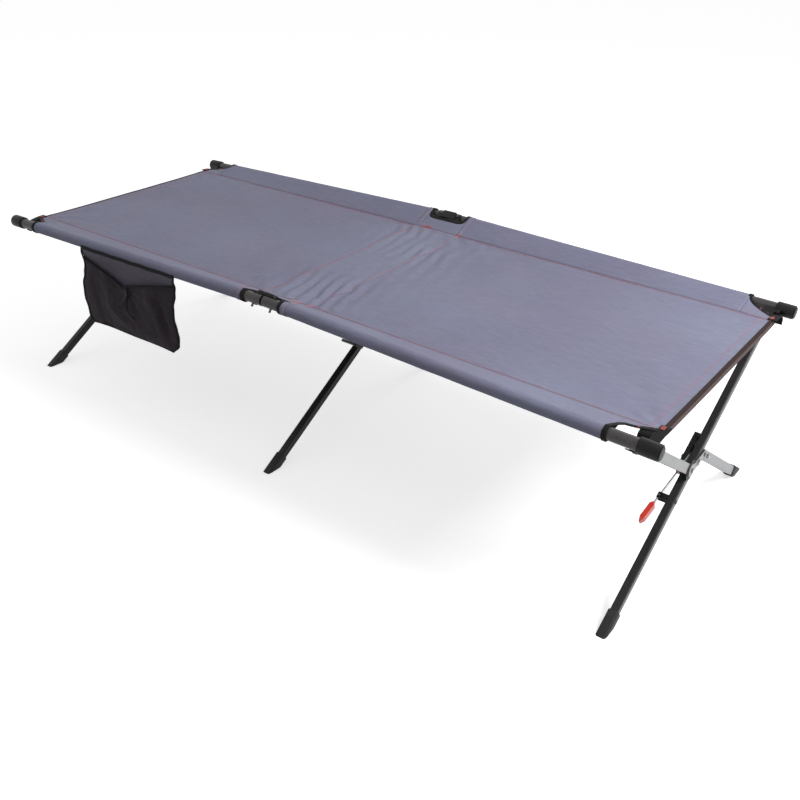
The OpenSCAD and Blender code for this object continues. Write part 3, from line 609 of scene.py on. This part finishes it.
DECK_CLOTH = cloth_material(
    "deck_fabric", (0.228, 0.238, 0.338), (0.200, 0.198, 0.290), (0.232, 0.212, 0.300))
BAND_CLOTH = cloth_material(
    "band_fabric", (0.240, 0.256, 0.356), (0.212, 0.215, 0.305), (0.238, 0.224, 0.315))
# Painted shade: the pocket's back panel is the deck's own fabric, here at about half its
# brightness.
POCKET_SHADED_CLOTH = cloth_material(
    "pocket_fabric_painted_shade", (0.135, 0.120, 0.165), (0.105, 0.092, 0.128), (0.120, 0.104, 0.140))
WEBBING = webbing_material("webbing", (0.006, 0.006, 0.007))
HEM = webbing_material("hem_tape", (0.024, 0.014, 0.013))
HEM_FOLD = webbing_material("hem_fold", (0.085, 0.062, 0.060))
MESH = mesh_material()
CORD = webbing_material("cord", (0.006, 0.006, 0.006), 1.4)
FRAME_DARK = coat_material("frame_dark", (0.012, 0.011, 0.011), 0.30)
RAIL_COAT = coat_material("rail_coat", (0.036, 0.032, 0.033), 0.36, 0.4)
BLACK = coat_material("bracket_black", (0.006, 0.006, 0.006), 0.46)
ALUMINIUM = metal_material("aluminium", (0.36, 0.365, 0.37), 0.5, GRAIN_X, 0.5)
STEEL = metal_material("steel", (0.52, 0.52, 0.53), 0.3, GRAIN_Z)
DARK_STEEL = metal_material("dark_steel", (0.10, 0.10, 0.105), 0.36, GRAIN_Z)
RUBBER = rubber_material()
RED = red_material()
THREAD = thread_material("stitch_thread", (0.55, 0.25, 0.28), (0.50, 0.17, 0.20))
TACK_THREAD = thread_material("tack_thread", (0.50, 0.10, 0.075), (0.40, 0.055, 0.04))

SLOT_MATERIALS = {
    "frame_dark": FRAME_DARK, "bracket_black": BLACK, "aluminium": ALUMINIUM, "steel": STEEL,
    "rubber_black": RUBBER, "red_plastic": RED, "deck_fabric": DECK_CLOTH, "mesh": MESH,
    "cord": CORD,
}

# ---------- Frame nodes: real finishes, and softened edges where they show ----------

NODE_SLOTS = {s["node"]: s["material_slot"] for s in frame["record"]["subparts"]}
NODE_BODIES = {n: b for b, names in frame["record"]["behaviour"]["bodies"].items() for n in names}

for node_name, node_object in frame["nodes"].items():
    node_object.data.materials.clear()
    finish = SLOT_MATERIALS[NODE_SLOTS[node_name]]
    if "_rail_" in node_name:
        finish = RAIL_COAT
    elif "_pins" in node_name or "rivet" in node_name:
        finish = DARK_STEEL
    node_object.data.materials.append(finish)

for cord, knot, points in laid:
    dress(cord, CORD, "near_side")
    dress(knot, CORD, "near_side")
    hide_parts("cord_tails")

SAME_POINT = 1e-6
FLAT_WITHIN = math.radians(2)
ROUNDED_OVER = math.radians(40)
SHARP_OVER = math.radians(32)


def soften(node, radius):
    """A copy of a rigid node with its edges rounded, in the node's place."""
    mesh = frame["nodes"][node].data.copy()
    piece = bpy.data.objects.new(node + "_moulded", mesh)
    bpy.context.scene.collection.objects.link(piece)
    work = bmesh.new()
    work.from_mesh(mesh)
    bmesh.ops.remove_doubles(work, verts=work.verts, dist=SAME_POINT)
    bmesh.ops.dissolve_limit(work, angle_limit=FLAT_WITHIN, verts=work.verts, edges=work.edges)
    work.to_mesh(mesh)
    work.free()
    bevel = piece.modifiers.new("edges", "BEVEL")
    bevel.width = radius
    bevel.segments = 3
    bevel.limit_method = "ANGLE"
    bevel.angle_limit = ROUNDED_OVER
    apply_modifiers(piece)
    piece.data.shade_smooth()
    piece.data.set_sharp_from_angle(angle=SHARP_OVER)
    dress(piece, SLOT_MATERIALS[NODE_SLOTS[node]], NODE_BODIES[node])
    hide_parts(node)


for radius, names in (
    (2.4, ("head_boot_a", "head_boot_b", "middle_boot_a", "middle_boot_b",
           "lock_boot_a", "arm_boot")),
    (1.6, ("latch_housing",)),
    (0.6, ("lever_clip",)),
    (1.4, ("latch_tongue",)),
    (0.5, ("release_lever",)),
    (0.4, ("link_plate_outer", "link_plate_inner", "pivot_disc")),
    (0.6, ("near_hinge_bracket", "far_hinge_bracket")),
    (0.9, ("near_bracket_head", "near_bracket_foot", "far_bracket_head", "far_bracket_foot",
           "near_end_plugs", "far_end_plugs")),
):
    for node_name in names:
        soften(node_name, radius * MM)

# ---------- The deck's sheet ----------

BAND_FROM = -68 * MM
BAND_TO = 102 * MM
END_SEAM = 26 * MM
SAG = 5 * MM
FINE_STEP = 4 * MM
COARSE_STEP = 7 * MM

# Creases of the sheet: height, reach, and their spacing or their number in a whole turn.
GATHER_AT = HINGE_X + 45 * MM
GATHER_H, GATHER_REACH, GATHER_PITCH = 5.2 * MM, 150 * MM, 41 * MM
RAY_H, RAY_REACH, RAYS = 3.4 * MM, 190 * MM, 15
PULL_H, PULL_REACH, PULLS = 1.3 * MM, 170 * MM, 10
PUCKER_H, PUCKER_REACH, PUCKER_PITCH = 0.5 * MM, 22 * MM, 31 * MM


def sheet_base(x):
    """Height of the deck's flat sheet along its seams."""
    end = 1 if x > HINGE_X else -1
    return SHEET_Z - SHEET_RISE * abs(x - HINGE_X) / (DECK_END - end * HINGE_X)


def folds(x, y):
    """Creases: gathers at the hinge, rays from it, pulls from the corners, puckered seams."""
    side = abs(y) / SEAM_Y
    near_hinge = math.exp(-((x - GATHER_AT) / GATHER_REACH) ** 2)
    warp = 34 * MM * ripple(x, y, 0, 0.24, 3.1) + 12 * MM * ripple(x, y, 0, 0.07, 8.2)
    ridge = math.sin((x + 0.22 * y + warp) * 2 * math.pi / GATHER_PITCH)
    patchy = min(1.0, max(0.15, 0.5 + 1.5 * ripple(x, y, 0, 0.15, 9.0)))
    z = GATHER_H * near_hinge * ridge * patchy * (0.4 + 0.6 * ease(side * 1.3))
    for sign in (-1, 1):
        dx, dy = x - HINGE_X, RAIL_Y - sign * y
        reach, angle = math.hypot(dx, dy), math.atan2(dx, dy)
        ray = math.sin(angle * RAYS + 2.2 * ripple(angle, sign, reach, 0.5, 3.3))
        z += RAY_H * ray * math.exp(-reach / RAY_REACH) * ease((reach - 0.05) / 0.05)
    for end in (-1, 1):
        for sign in (-1, 1):
            dx, dy = DECK_END - end * x, SEAM_Y - sign * y
            reach, angle = math.hypot(dx, dy), math.atan2(dy, dx)
            pull = math.sin(angle * PULLS + 1.4 + end)
            z += PULL_H * (pull * math.exp(-reach / PULL_REACH) * ease(reach / 0.05))
    z += 1.4 * MM * ripple(x, y, 0, 0.30) + 0.9 * MM * ripple(x, y, 0, 0.09, 5.0)
    near_seam = math.exp(-(SEAM_Y - abs(y)) / PUCKER_REACH)
    pucker = math.sin(x * 2 * math.pi / PUCKER_PITCH + 4 * ripple(x, y, 0, 0.2, 2.0))
    return z + PUCKER_H * near_seam * pucker


def sheet_z(x, y):
    """Height of the sheet's surface: stretched between its seams, with a shallow sag."""
    inward = max(0.0, 1 - (y / SEAM_Y) ** 2)
    lengthwise = max(0.0, 1 - (x / DECK_END) ** 2)
    sag = SAG * inward * (0.4 + 0.6 * lengthwise)
    return sheet_base(x) - sag + folds(x, y) * ease(inward * 6 + 0.1)


def sheet_point(x, y, lift=0.0):
    """A point on the sheet, or lift above it."""
    return Vector((x, y, sheet_z(x, y) + lift))


def columns(low, high, step):
    """Evenly spaced places from low to high, about step apart."""
    count = max(1, round(abs(high - low) / step))
    return [low + (high - low) * i / count for i in range(count + 1)]


def grid(name, rows):
    """A skin over rows of points, each as long as the next."""
    return sweep(name, rows, closed=False)


def deck_piece(obj, material, thickness=0.0, offset=0.0):
    """Finishes a piece of the deck: thickens it if asked, gives it its material and bakes its
    place into its mesh.
    """
    if thickness:
        thicken(obj, thickness, offset)
    dress(obj, material)
    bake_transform(obj)


fine = columns(HINGE_X - 170 * MM, HINGE_X + 230 * MM, FINE_STEP)
xs = (columns(-DECK_END, fine[0], COARSE_STEP)[:-1] + fine
      + columns(fine[-1], DECK_END, COARSE_STEP)[1:])
ys = columns(-SEAM_Y, SEAM_Y, 5 * MM)
deck = grid("deck_sheet", [[sheet_point(x, y) for y in ys] for x in xs])
deck_piece(deck, DECK_CLOTH, CLOTH)

band_xs = columns(BAND_FROM, BAND_TO, FINE_STEP)
band = grid("centre_panel", [[sheet_point(x, y, 0.9 * MM) for y in ys] for x in band_xs])
deck_piece(band, BAND_CLOTH, 0.7 * MM)

# ---------- Flaps past the sleeves, at the corners and beside the centre hinge ----------

# At each corner (end, side): the cloth's half-width at the end, and how fast it widens inward.
CORNERS = {(1, -1): (336 * MM, 0.36), (1, 1): (352 * MM, 0.59),
           (-1, -1): (351 * MM, 0.41), (-1, 1): (360 * MM, 0.58)}
RIM_Y = RAIL_Y - 6 * MM
FLAP = DECK_END - SLEEVE_END
FLAP_STEPS = 10
COLLAR_R = SLEEVE_R + 1.6 * MM
COLLAR_AT = 65 * MM
COLLAR_STEP = 12  # degrees


def rim_z(x):
    """Height at which cloth leaves the top of the rail."""
    return rail_z(x) + SLEEVE_R * math.sin(math.acos((RIM_Y - RAIL_Y) / SLEEVE_R))


def past_sleeve(x):
    """How far x lies past the sleeves' outer ends."""
    return abs(x) - SLEEVE_END


def corner_edge(end, side, past):
    """Half-width of a corner flap, past the sleeve's end."""
    half, widening = CORNERS[end, side]
    inner = half + widening * (FLAP - past)
    return inner + (RIM_Y - half - widening * FLAP) * math.exp(-past / (4 * MM))


def corner_lift(past):
    """How much a corner flap clings to the sleeve, past the sleeve's end."""
    return 0.10 + 0.9 * math.exp(-past / (30 * MM))


def hinge_edge(x):
    """Half-width of the cloth beside the centre hinge."""
    start = abs(abs(x - HINGE_X) - SLEEVE_START)
    return HINGE_EDGE_Y + (RIM_Y - HINGE_EDGE_Y) * math.exp(-start / (7 * MM))


def flap_point(x, side, y, lift):
    """A point of a flap: from the seam to the rim, lifted as much as it clings to the sleeve."""
    share = (y - SEAM_Y) / (RIM_Y - SEAM_Y)
    base = sheet_z(x, side * SEAM_Y)
    return Vector((x, side * y, base + 0.5 * MM + lift * share * (rim_z(x) - base)))


def flap_rows(places, side, edge, lift):
    """Rows of points from the seam to the flap's edge, one row at each place."""
    return [[flap_point(x, side, SEAM_Y + (edge(x) - SEAM_Y) * k / FLAP_STEPS, lift(x))
             for k in range(FLAP_STEPS + 1)] for x in places]


def collar(x, side, first, last):
    """Points round a sleeve's end, with their normals. Degrees: 0 is outward, 90 is up."""
    points, normals = [], []
    for degrees in columns(first, last, COLLAR_STEP):
        a = math.radians(degrees)
        out = Vector((0, side * math.cos(a), math.sin(a)))
        points.append(Vector((x, side * RAIL_Y, rail_z(x))) + out * COLLAR_R)
        normals.append(out)
    return points, normals


def binding(name, points, normals, width, thickness=2.6 * MM):
    """Webbing sewn round a cut edge."""
    skin = ribbon(name, smooth_path(points, 3), smooth_path(normals, 3), width, thickness)
    deck_piece(skin, WEBBING)


def hinge_cloth(side, where):
    """The cloth beside the centre hinge, with the tape round its opening."""
    places = columns(HINGE_X - SLEEVE_START, HINGE_X + SLEEVE_START, 4 * MM)
    flap = grid(f"{where}_hinge_flap", flap_rows(places, side, hinge_edge, lambda x: 1.0))
    deck_piece(flap, BAND_CLOTH, CLOTH)
    low, high = HINGE_X - COLLAR_AT, HINGE_X + COLLAR_AT
    p1, n1 = collar(low, side, -115, 95)
    p2, n2 = collar(high, side, 95, -115)
    edge = [flap_point(x, side, hinge_edge(x), 1.0)
            for x in columns(low + 5 * MM, high - 5 * MM, 7 * MM)]
    tilt = Vector((0, -side * 0.45, 0.9))
    binding(f"{where}_hinge_binding", p1 + edge + p2, n1 + [tilt] * len(edge) + n2, 12 * MM)


def corner_cloth(side, where, end, half):
    """A corner's flap, with the tape along its cut edge."""
    def edge_at(x):
        return corner_edge(end, side, past_sleeve(x))

    def lift_at(x):
        return corner_lift(past_sleeve(x))

    places = [end * p for p in columns(SLEEVE_END, DECK_END, 3 * MM)]
    flap = grid(f"{where}_{half}_flap", flap_rows(places, side, edge_at, lift_at))
    deck_piece(flap, DECK_CLOTH, CLOTH)
    points, normals = collar(end * SLEEVE_END, side, -130, 95)
    edge = [flap_point(x, side, edge_at(x), lift_at(x)) for x in places[1::3]]
    tilt = Vector((0, -side * 0.2, 0.98))
    binding(f"{where}_{half}_binding", points + edge, normals + [tilt] * len(edge),
            11 * MM, 3 * MM)


def corner_strap(side, where, end, half):
    """A strap from the corner to the rail's end, and down beside its bracket."""
    x = end * (DECK_END + 2 * MM)
    corner_y = CORNERS[end, side][0]
    outline = [(corner_y - 20 * MM, 2.2 * MM), (corner_y + 4 * MM, 1 * MM),
               (RAIL_Y - 40 * MM, -2 * MM), (RAIL_Y - 28 * MM, -6 * MM),
               (RAIL_Y - 21.5 * MM, -16 * MM), (RAIL_Y - 20 * MM, -30 * MM)]
    points = [Vector((x, side * y, sheet_base(x) + up)) for y, up in outline]
    normals = [UP] * 3 + [Vector((0, -side, rise)) for rise in (1, 0.3, 0)]
    binding(f"{where}_{half}_corner_strap", points, normals, 24 * MM, 2.4 * MM)


def corner_patch(side, where, end, half):
    """Webbing that fills a corner up to its bracket and turns down beside it."""
    base = sheet_base(end * DECK_END)
    wall = RAIL_Y - 50 * MM
    rows = []
    for inward in columns(-10 * MM, 38 * MM, 4 * MM):
        x = end * (DECK_END - inward)
        cloth = corner_edge(end, side, min(past_sleeve(x), FLAP))
        outline = [(cloth - 6 * MM, 2 * MM), (cloth + 1 * MM, 1 * MM),
                   ((cloth + wall) / 2, -1 * MM), (wall - 2 * MM, -3 * MM),
                   (wall, -8 * MM), (wall + 0.5 * MM, -22 * MM)]
        rows.append([Vector((x, side * y, base + up)) for y, up in outline])
    deck_piece(grid(f"{where}_{half}_corner_patch", rows), WEBBING, 1.8 * MM)


for side, where in SIDES:
    hinge_cloth(side, where)
    for end, half in HALVES:
        corner_cloth(side, where, end, half)
        corner_strap(side, where, end, half)
        if where == "near":
            corner_patch(side, where, end, half)

# ---------- Sleeves round the rails ----------

SLEEVE_FLAT = 9  # points along each flat stretch of a sleeve's section
SLEEVE_ROUND = 22  # steps round the tube


def sleeve_profile(x, side, radius, swell=0.0):
    """The sleeve's section at x: from its seam over the tube, round it and back under."""
    zc, zs = rail_z(x), sheet_z(x, side * SEAM_Y)
    reach = math.hypot(RAIL_Y - SEAM_Y, zs - zc)
    tilt = math.atan2(zs - zc, SEAM_Y - RAIL_Y)
    touch = math.acos(min(1.0, radius / reach))
    top, bottom = tilt - touch, tilt + touch - 2 * math.pi

    def round_tube(a):
        return RAIL_Y + radius * math.cos(a), zc + radius * math.sin(a)

    first, last, under = round_tube(top), round_tube(bottom), zs - 1.2 * MM
    points = []
    for k in range(SLEEVE_FLAT):
        t = k / SLEEVE_FLAT
        lift = swell * math.sin(math.pi * t)
        points.append((SEAM_Y + (first[0] - SEAM_Y) * t, zs + (first[1] - zs) * t + lift))
    for k in range(SLEEVE_ROUND + 1):
        points.append(round_tube(top + (bottom - top) * k / SLEEVE_ROUND))
    for k in range(1, SLEEVE_FLAT + 1):
        t = k / SLEEVE_FLAT
        lift = -swell * math.sin(math.pi * t)
        points.append((last[0] + (SEAM_Y - last[0]) * t, last[1] + (under - last[1]) * t + lift))
    return [Vector((x, side * y, z)) for y, z in points]


def sleeve_skin(name, x_from, x_to, side, radius, step, slack):
    """One sleeve between two places, its loose stretches slightly rippled."""
    rings = []
    for x in columns(x_from, x_to, step):
        swell = 1.4 * MM * slack * ripple(x, side, 0, 0.09, 1.7)
        ring = sleeve_profile(x, side, radius, swell)
        for p in ring:
            out = Vector((0, p.y - side * RAIL_Y, p.z - rail_z(x)))
            if out.length > 1e-5:
                loose = 0.5 + 0.5 * ripple(x, p.y * 4, p.z * 4, 0.06, 2.9)
                p += out.normalized() * 0.8 * MM * slack * loose
        rings.append(ring)
    return grid(name, rings)


for side, where in SIDES:
    for end, half in HALVES:
        start = HINGE_X + end * SLEEVE_START
        stop = BAND_TO if end > 0 else BAND_FROM
        face = -1.0 * end * side  # the same face of the cloth on every sleeve
        skin = sleeve_skin(f"{where}_sleeve_{half}", start, end * SLEEVE_END, side,
                           SLEEVE_R, COARSE_STEP, 1.0)
        deck_piece(skin, DECK_CLOTH, 0.8 * MM, face)
        cuff = sleeve_skin(f"{where}_{half}_cuff", start, stop, side,
                           SLEEVE_R + 1.7 * MM, FINE_STEP, 0.3)
        deck_piece(cuff, BAND_CLOTH, 0.6 * MM, face)

# ---------- Hems along the two ends ----------

for end, half in HALVES:
    reach = columns(-CORNERS[end, -1][0] + 4 * MM, CORNERS[end, 1][0] - 4 * MM, 12 * MM)
    top = [Vector((end * (DECK_END + 0.5 * MM), y,
                   sheet_z(end * DECK_END, max(-SEAM_Y, min(SEAM_Y, y))))) for y in reach]
    upward = [Vector((end * 0.45, 0, 0.9))] * len(top)
    deck_piece(ribbon(f"{half}_hem", top, upward, 10 * MM, 2.8 * MM), HEM)
    lip = [p + Vector((end * 4.0 * MM, 0, -7.5 * MM)) for p in top]
    endward = [Vector((end * 0.93, 0, 0.35))] * len(lip)
    deck_piece(ribbon(f"{half}_hem_fold", lip, endward, 12 * MM, 1.6 * MM), HEM_FOLD)

# ---------- Stitching ----------

LENGTHWISE, CROSSWISE = Vector((1, 0, 0)), Vector((0, 1, 0))
PAIR = (1.5 * MM, -1.5 * MM)
SEAM_ROWS = (1.6 * MM, 5.6 * MM)  # inward from the seam
SEAM_STITCH_R = 0.6 * MM
OVER_TUBE = 24  # points of a sleeve's section, from the seam to past the tube's top
PANEL_ROWS = (BAND_FROM + 3 * MM, BAND_TO - 3 * MM)
TACK_WIDTH = 4.6  # mm, of the tacks beside the hinge
thread, tacks = Thread(), Thread()


def rows_across(x, lift):
    """A pair of rows across the sheet."""
    line = [sheet_point(x, y, lift) for y in columns(-SEAM_Y, SEAM_Y, 8 * MM)]
    thread.rows(line, [UP] * len(line), PAIR)


def seam_stitches(side):
    """The rows along a seam and over its sleeve, and the tacks beside the hinge."""
    seam = [sheet_point(x, side * SEAM_Y, 0.7 * MM)
            for x in columns(-DECK_END + 6 * MM, DECK_END - 6 * MM, 10 * MM)]
    thread.rows(seam, [UP] * len(seam), [-side * inward for inward in SEAM_ROWS], SEAM_STITCH_R)
    for x in PANEL_ROWS:
        over = sleeve_profile(x, side, SLEEVE_R + 2.6 * MM)[:OVER_TUBE]
        headings = [along(over, k) for k in range(len(over))]
        thread.rows(over, [Vector((0, -t.z * side, t.y * side)) for t in headings], PAIR)
    for x, long in ((HINGE_X - side * 38 * MM, 30 * MM), (BAND_TO - 3 * MM, 14 * MM)):
        for k in range(3):
            spot = flap_point(x, side, SEAM_Y + (TACK_WIDTH * k - 3) * MM, 1.0)
            spot += Vector((0, 0, 2.0 * MM))
            thread.tack(spot, UP, LENGTHWISE, long, TACK_WIDTH * MM)


def corner_tacks(end, side):
    """Bar tacks through a corner's strap, and at its flap's edge."""
    spot = Vector((end * (DECK_END - 1 * MM), side * (CORNERS[end, side][0] - 9 * MM),
                   sheet_base(end * DECK_END) + 4 * MM))
    for k in (-1, 0, 1):
        tacks.tack(spot + Vector((k * 3.2 * MM, 0, 0)), UP, CROSSWISE, 15 * MM, 3 * MM)
    x = end * (DECK_END - 42 * MM)
    past = past_sleeve(x)
    spot = flap_point(x, side, corner_edge(end, side, past), corner_lift(past))
    tacks.tack(spot + Vector((0, 0, 1.8 * MM)), UP, CROSSWISE, 13 * MM, 2.6 * MM)


for side in (-1, 1):
    seam_stitches(side)
for x in PANEL_ROWS:
    rows_across(x, 1.5 * MM)
for end in (-1, 1):
    rows_across(end * (DECK_END - END_SEAM), 0.7 * MM)
    for side in (-1, 1):
        corner_tacks(end, side)
deck_piece(thread.made("deck_stitching"), THREAD)
deck_piece(tacks.made("deck_bar_tacks"), TACK_THREAD)

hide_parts("deck")

# ---------- Pocket ----------

# The pocket's two edges in its own frame, in mm from its bottom up: (height, place across).
LEFT_EDGE = [(4, -219), (16, -237), (44, -238), (78, -246), (122, -242), (160, -226),
             (191, -216), (224, -216), (250, -206)]
RIGHT_EDGE = [(5, 148), (26, 172), (54, 176), (80, 172), (108, 166), (146, 170),
              (186, 184), (221, 191), (250, 204)]
BACK_TOP = 250
BACK_SPREAD = 2.5  # of the back panel, under the tape on its sides
MOUTH_LOW = 160
MOUTH_HIGH = 214
MOUTH_STEP = 6
LOCK_SHARE = 0.475  # of the way across
LOCK_V = 154

# Creases, in mm: from, to, half-width, and height.
FRONT_CREASES = (
    ((-158, 178), (-128, 12), 20, -4.0), ((-182, 150), (-160, 20), 18, -5.0),
    ((-120, 82), (-30, 40), 15, 4.0), ((-30, 40), (110, 28), 16, 4.0),
    ((70, 185), (98, 100), 22, 4.5), ((98, 100), (140, 12), 22, 5.0),
    ((118, 150), (150, 40), 12, -4.5),
)
BACK_CREASES = (((-150, 222), (60, 196), 8, -1.6), ((-20, 214), (170, 206), 8, 1.8))
ACROSS, UPWARD = 96, 60  # steps of the pocket's skins
TAPE_STEPS = 24
HEM_STEPS = 40


def between(pairs, at):
    """A smooth value between pairs of (place, value)."""
    for (a, va), (b, vb) in zip(pairs, pairs[1:]):
        if at <= b:
            return va + (vb - va) * ease((at - a) / (b - a))
    return pairs[-1][1]


def pocket_place(u, v, w):
    """From the pocket's own frame, in mm: u towards the foot, v up from its bottom, w out."""
    return rail_point(POCKET_X + u * MM, POCKET_FACE + w * MM, POCKET_TOP - POCKET_H + v * MM, -1)


def mouth_height(s):
    """The mouth's height across the pocket: drawn down to the cord lock."""
    rise = MOUTH_HIGH - MOUTH_LOW
    if s < LOCK_SHARE:
        return MOUTH_LOW + rise * (1 - s / LOCK_SHARE) ** 0.85
    past = s - LOCK_SHARE
    return (MOUTH_LOW + MOUTH_STEP * ease(past / 0.05)
            + (rise - MOUTH_STEP) * (past / (1 - LOCK_SHARE)) ** 0.9)


def bottom_height(s):
    """The bottom's height across the pocket."""
    return 5 + 5 * math.sin(math.pi * s) + 1.5 * math.sin(9 * s)


def creased(w, u, v, creases):
    """w with soft ridges and hollows over it, each along a line from a to b."""
    at = Vector((u, v))
    for a, b, width, height in creases:
        line = Vector(b) - Vector(a)
        t = min(1.0, max(0.0, (at - Vector(a)).dot(line) / line.length_squared))
        gap = (at - (Vector(a) + line * t)).length
        fade = 0.4 + 0.6 * math.sin(math.pi * min(max(t, 0.1), 0.9))
        w += height * math.exp(-(gap / width) ** 2) * fade
    return w


def front_swell(s, t, u, v):
    """How far the front stands out: full below, drawn in along its bindings, with its creases."""
    full = math.sin(math.pi * s) ** 0.6 * (0.35 + 0.65 * math.sin(math.pi * (0.12 + 0.80 * t)))
    w = creased(-11 + 11 * full, u, v, FRONT_CREASES)
    du, dv = u - LOCK_U, v - LOCK_V
    reach, angle = math.hypot(du, dv), math.atan2(du, -dv)
    w += 2.6 * math.sin(angle * 9 + 0.5) * math.exp(-reach / 46) * ease(reach / 14)
    w += 2.0 * ripple(u * MM, v * MM, 0, 0.05, 6.0)
    return w + 1.0 * ripple(u * MM, v * MM, 0, 0.02, 2.0)


def pocket_u(s, v, spread=0.0):
    """The place across, s of the way between the two edges, each moved out by spread."""
    left, right = between(LEFT_EDGE, v) - spread, between(RIGHT_EDGE, v) + spread
    return left + (right - left) * s


def front_point(s, t):
    """A place on the front, whose top row is tucked back."""
    v = bottom_height(s) + (mouth_height(s) - bottom_height(s)) * t
    u = pocket_u(s, v)
    return u, v, min(3.0, front_swell(s, t, u, v)) if t < 1 else -2.0


def back_point(s, t):
    """A place on the back panel, which comes forward to the rail at its top."""
    v = bottom_height(s) + (BACK_TOP - bottom_height(s)) * t
    u = pocket_u(s, v, BACK_SPREAD)
    w = -13.2 + 12.6 * ease((v - 205) / 45)
    w += 1.2 * ripple(u * MM, v * MM, 0, 0.07, 3.0) * (1 - t)
    return u, v, creased(w, u, v, BACK_CREASES)


def pocket_skin(name, place):
    """A skin of the pocket, from its place at each share across and up."""
    return grid(name, [[pocket_place(*place(i / ACROSS, k / UPWARD)) for k in range(UPWARD + 1)]
                       for i in range(ACROSS + 1)])


front = pocket_skin("pocket_front_mesh", front_point)
thicken(front, 0.6 * MM)
dress(front, MESH, "near_side")
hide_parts("pocket_front")
# The back panel takes the deck's fabric darkened as painted shade.
back = pocket_skin("pocket_back_panel", back_point)
thicken(back, 0.8 * MM)
dress(back, POCKET_SHADED_CLOTH, "near_side")
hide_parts("pocket_back")


def pocket_tape(name, spots, width, thickness):
    """Black tape along a line of (u, v, w) places on the pocket. Its sizes are in mm."""
    points = smooth_path([pocket_place(*spot) for spot in spots], 3)
    tape = ribbon(name, points, [OUTWARD] * len(points), width * MM, thickness * MM)
    return dress(tape, WEBBING, "near_side")


def side_spots(edge, lowest):
    """Places up one edge, set back below and coming forward at the top."""
    return [(between(edge, v), v, -8.5 + 8.3 * ease((v - 200) / 50))
            for v in range(lowest, BACK_TOP + 2, 9)]


shares = [k / TAPE_STEPS for k in range(TAPE_STEPS + 1)]
bottom_spots = [(pocket_u(s, bottom_height(s)), bottom_height(s), -8.5) for s in shares]
top_spots = [(pocket_u(s, BACK_TOP - 1), BACK_TOP - 1 + 0.8 * math.sin(k * 1.3), 1.2)
             for k, s in enumerate(shares)]
mouth_spots = [(front_point(k / HEM_STEPS, 1.0)[0], mouth_height(k / HEM_STEPS),
                -9 + 8.6 * math.sin(math.pi * k / HEM_STEPS) ** 0.5)
               for k in range(HEM_STEPS + 1)]
tapes = [pocket_tape("pocket_left_binding", side_spots(LEFT_EDGE, 4), 7.5, 2.6),
         pocket_tape("pocket_right_binding", side_spots(RIGHT_EDGE, 6), 7.5, 2.6),
         pocket_tape("pocket_bottom_binding", bottom_spots, 9, 3),
         pocket_tape("pocket_top_binding", top_spots, 11, 2.2),
         pocket_tape("pocket_mouth_hem", mouth_spots, 6.5, 3.4)]

# ---------- Floor, lights and background ----------

FLOOR_HALF = 30
FLOOR_DROP = 0.5 * MM
FLOOR_GLOW = 0.62
WORLD_LIGHT = 0.39


def seen_only(tree):
    """1 where the camera, a reflection or a transmission sees it, 0 where it lights others."""
    paths = tree.nodes.new("ShaderNodeLightPath")
    seen = paths.outputs["Is Camera Ray"]
    for ray in ("Is Glossy Ray", "Is Transmission Ray"):
        larger = tree.nodes.new("ShaderNodeMath")
        larger.operation = "MAXIMUM"
        tree.links.new(seen, larger.inputs[0])
        tree.links.new(paths.outputs[ray], larger.inputs[1])
        seen = larger.outputs[0]
    return seen


def make_floor():
    """A pale floor that shows white to the camera but keeps the object's shadow."""
    h = FLOOR_HALF
    floor = new_mesh("floor", [(-h, -h, 0), (h, -h, 0), (h, h, 0), (-h, h, 0)], [(0, 1, 2, 3)],
                     smooth=False)
    n = Nodes("floor")
    seen = seen_only(n.tree)
    n.set(Base_Color=n.mix(seen, (0.32, 0.32, 0.32), (0.93, 0.93, 0.93)))
    n.set(Roughness=0.95, Specular_IOR_Level=0.0)
    n.set(Emission_Color=(1.0, 1.0, 1.0), Emission_Strength=n.range(seen, 0.0, FLOOR_GLOW))
    floor.data.materials.append(n.material)
    floor.location.z = -FLOOR_DROP


def make_world():
    """A surround that shows white to the camera and lights more weakly."""
    world = bpy.data.worlds.new("studio")
    bpy.context.scene.world = world
    world.use_nodes = True
    tree = world.node_tree
    backdrop = tree.nodes["Background"]
    backdrop.inputs["Color"].default_value = (1, 1, 1, 1)
    strength = tree.nodes.new("ShaderNodeMapRange")
    tree.links.new(seen_only(tree), strength.inputs["Value"])
    strength.inputs["To Min"].default_value = WORLD_LIGHT
    strength.inputs["To Max"].default_value = 1.0
    tree.links.new(strength.outputs["Result"], backdrop.inputs["Strength"])


def make_light(name, place, target, size, power):
    """A square soft light aimed at a point, its size in metres and its power in watts."""
    data = bpy.data.lights.new(name, "AREA")
    data.size = size
    data.energy = power
    light = bpy.data.objects.new(name, data)
    bpy.context.scene.collection.objects.link(light)
    light.location = place
    light.rotation_euler = (Vector(target) - Vector(place)).to_track_quat("-Z", "Y").to_euler()


make_floor()
make_world()
make_light("key", place=(2.6, 0.3, 2.6), target=(0.6, 0, 0.5), size=1.2, power=72)
make_light("back", place=(0.6, 3.4, 2.6), target=(0.2, 0, 0.5), size=2.2, power=16)

bpy.context.scene.view_settings.view_transform = "Standard"
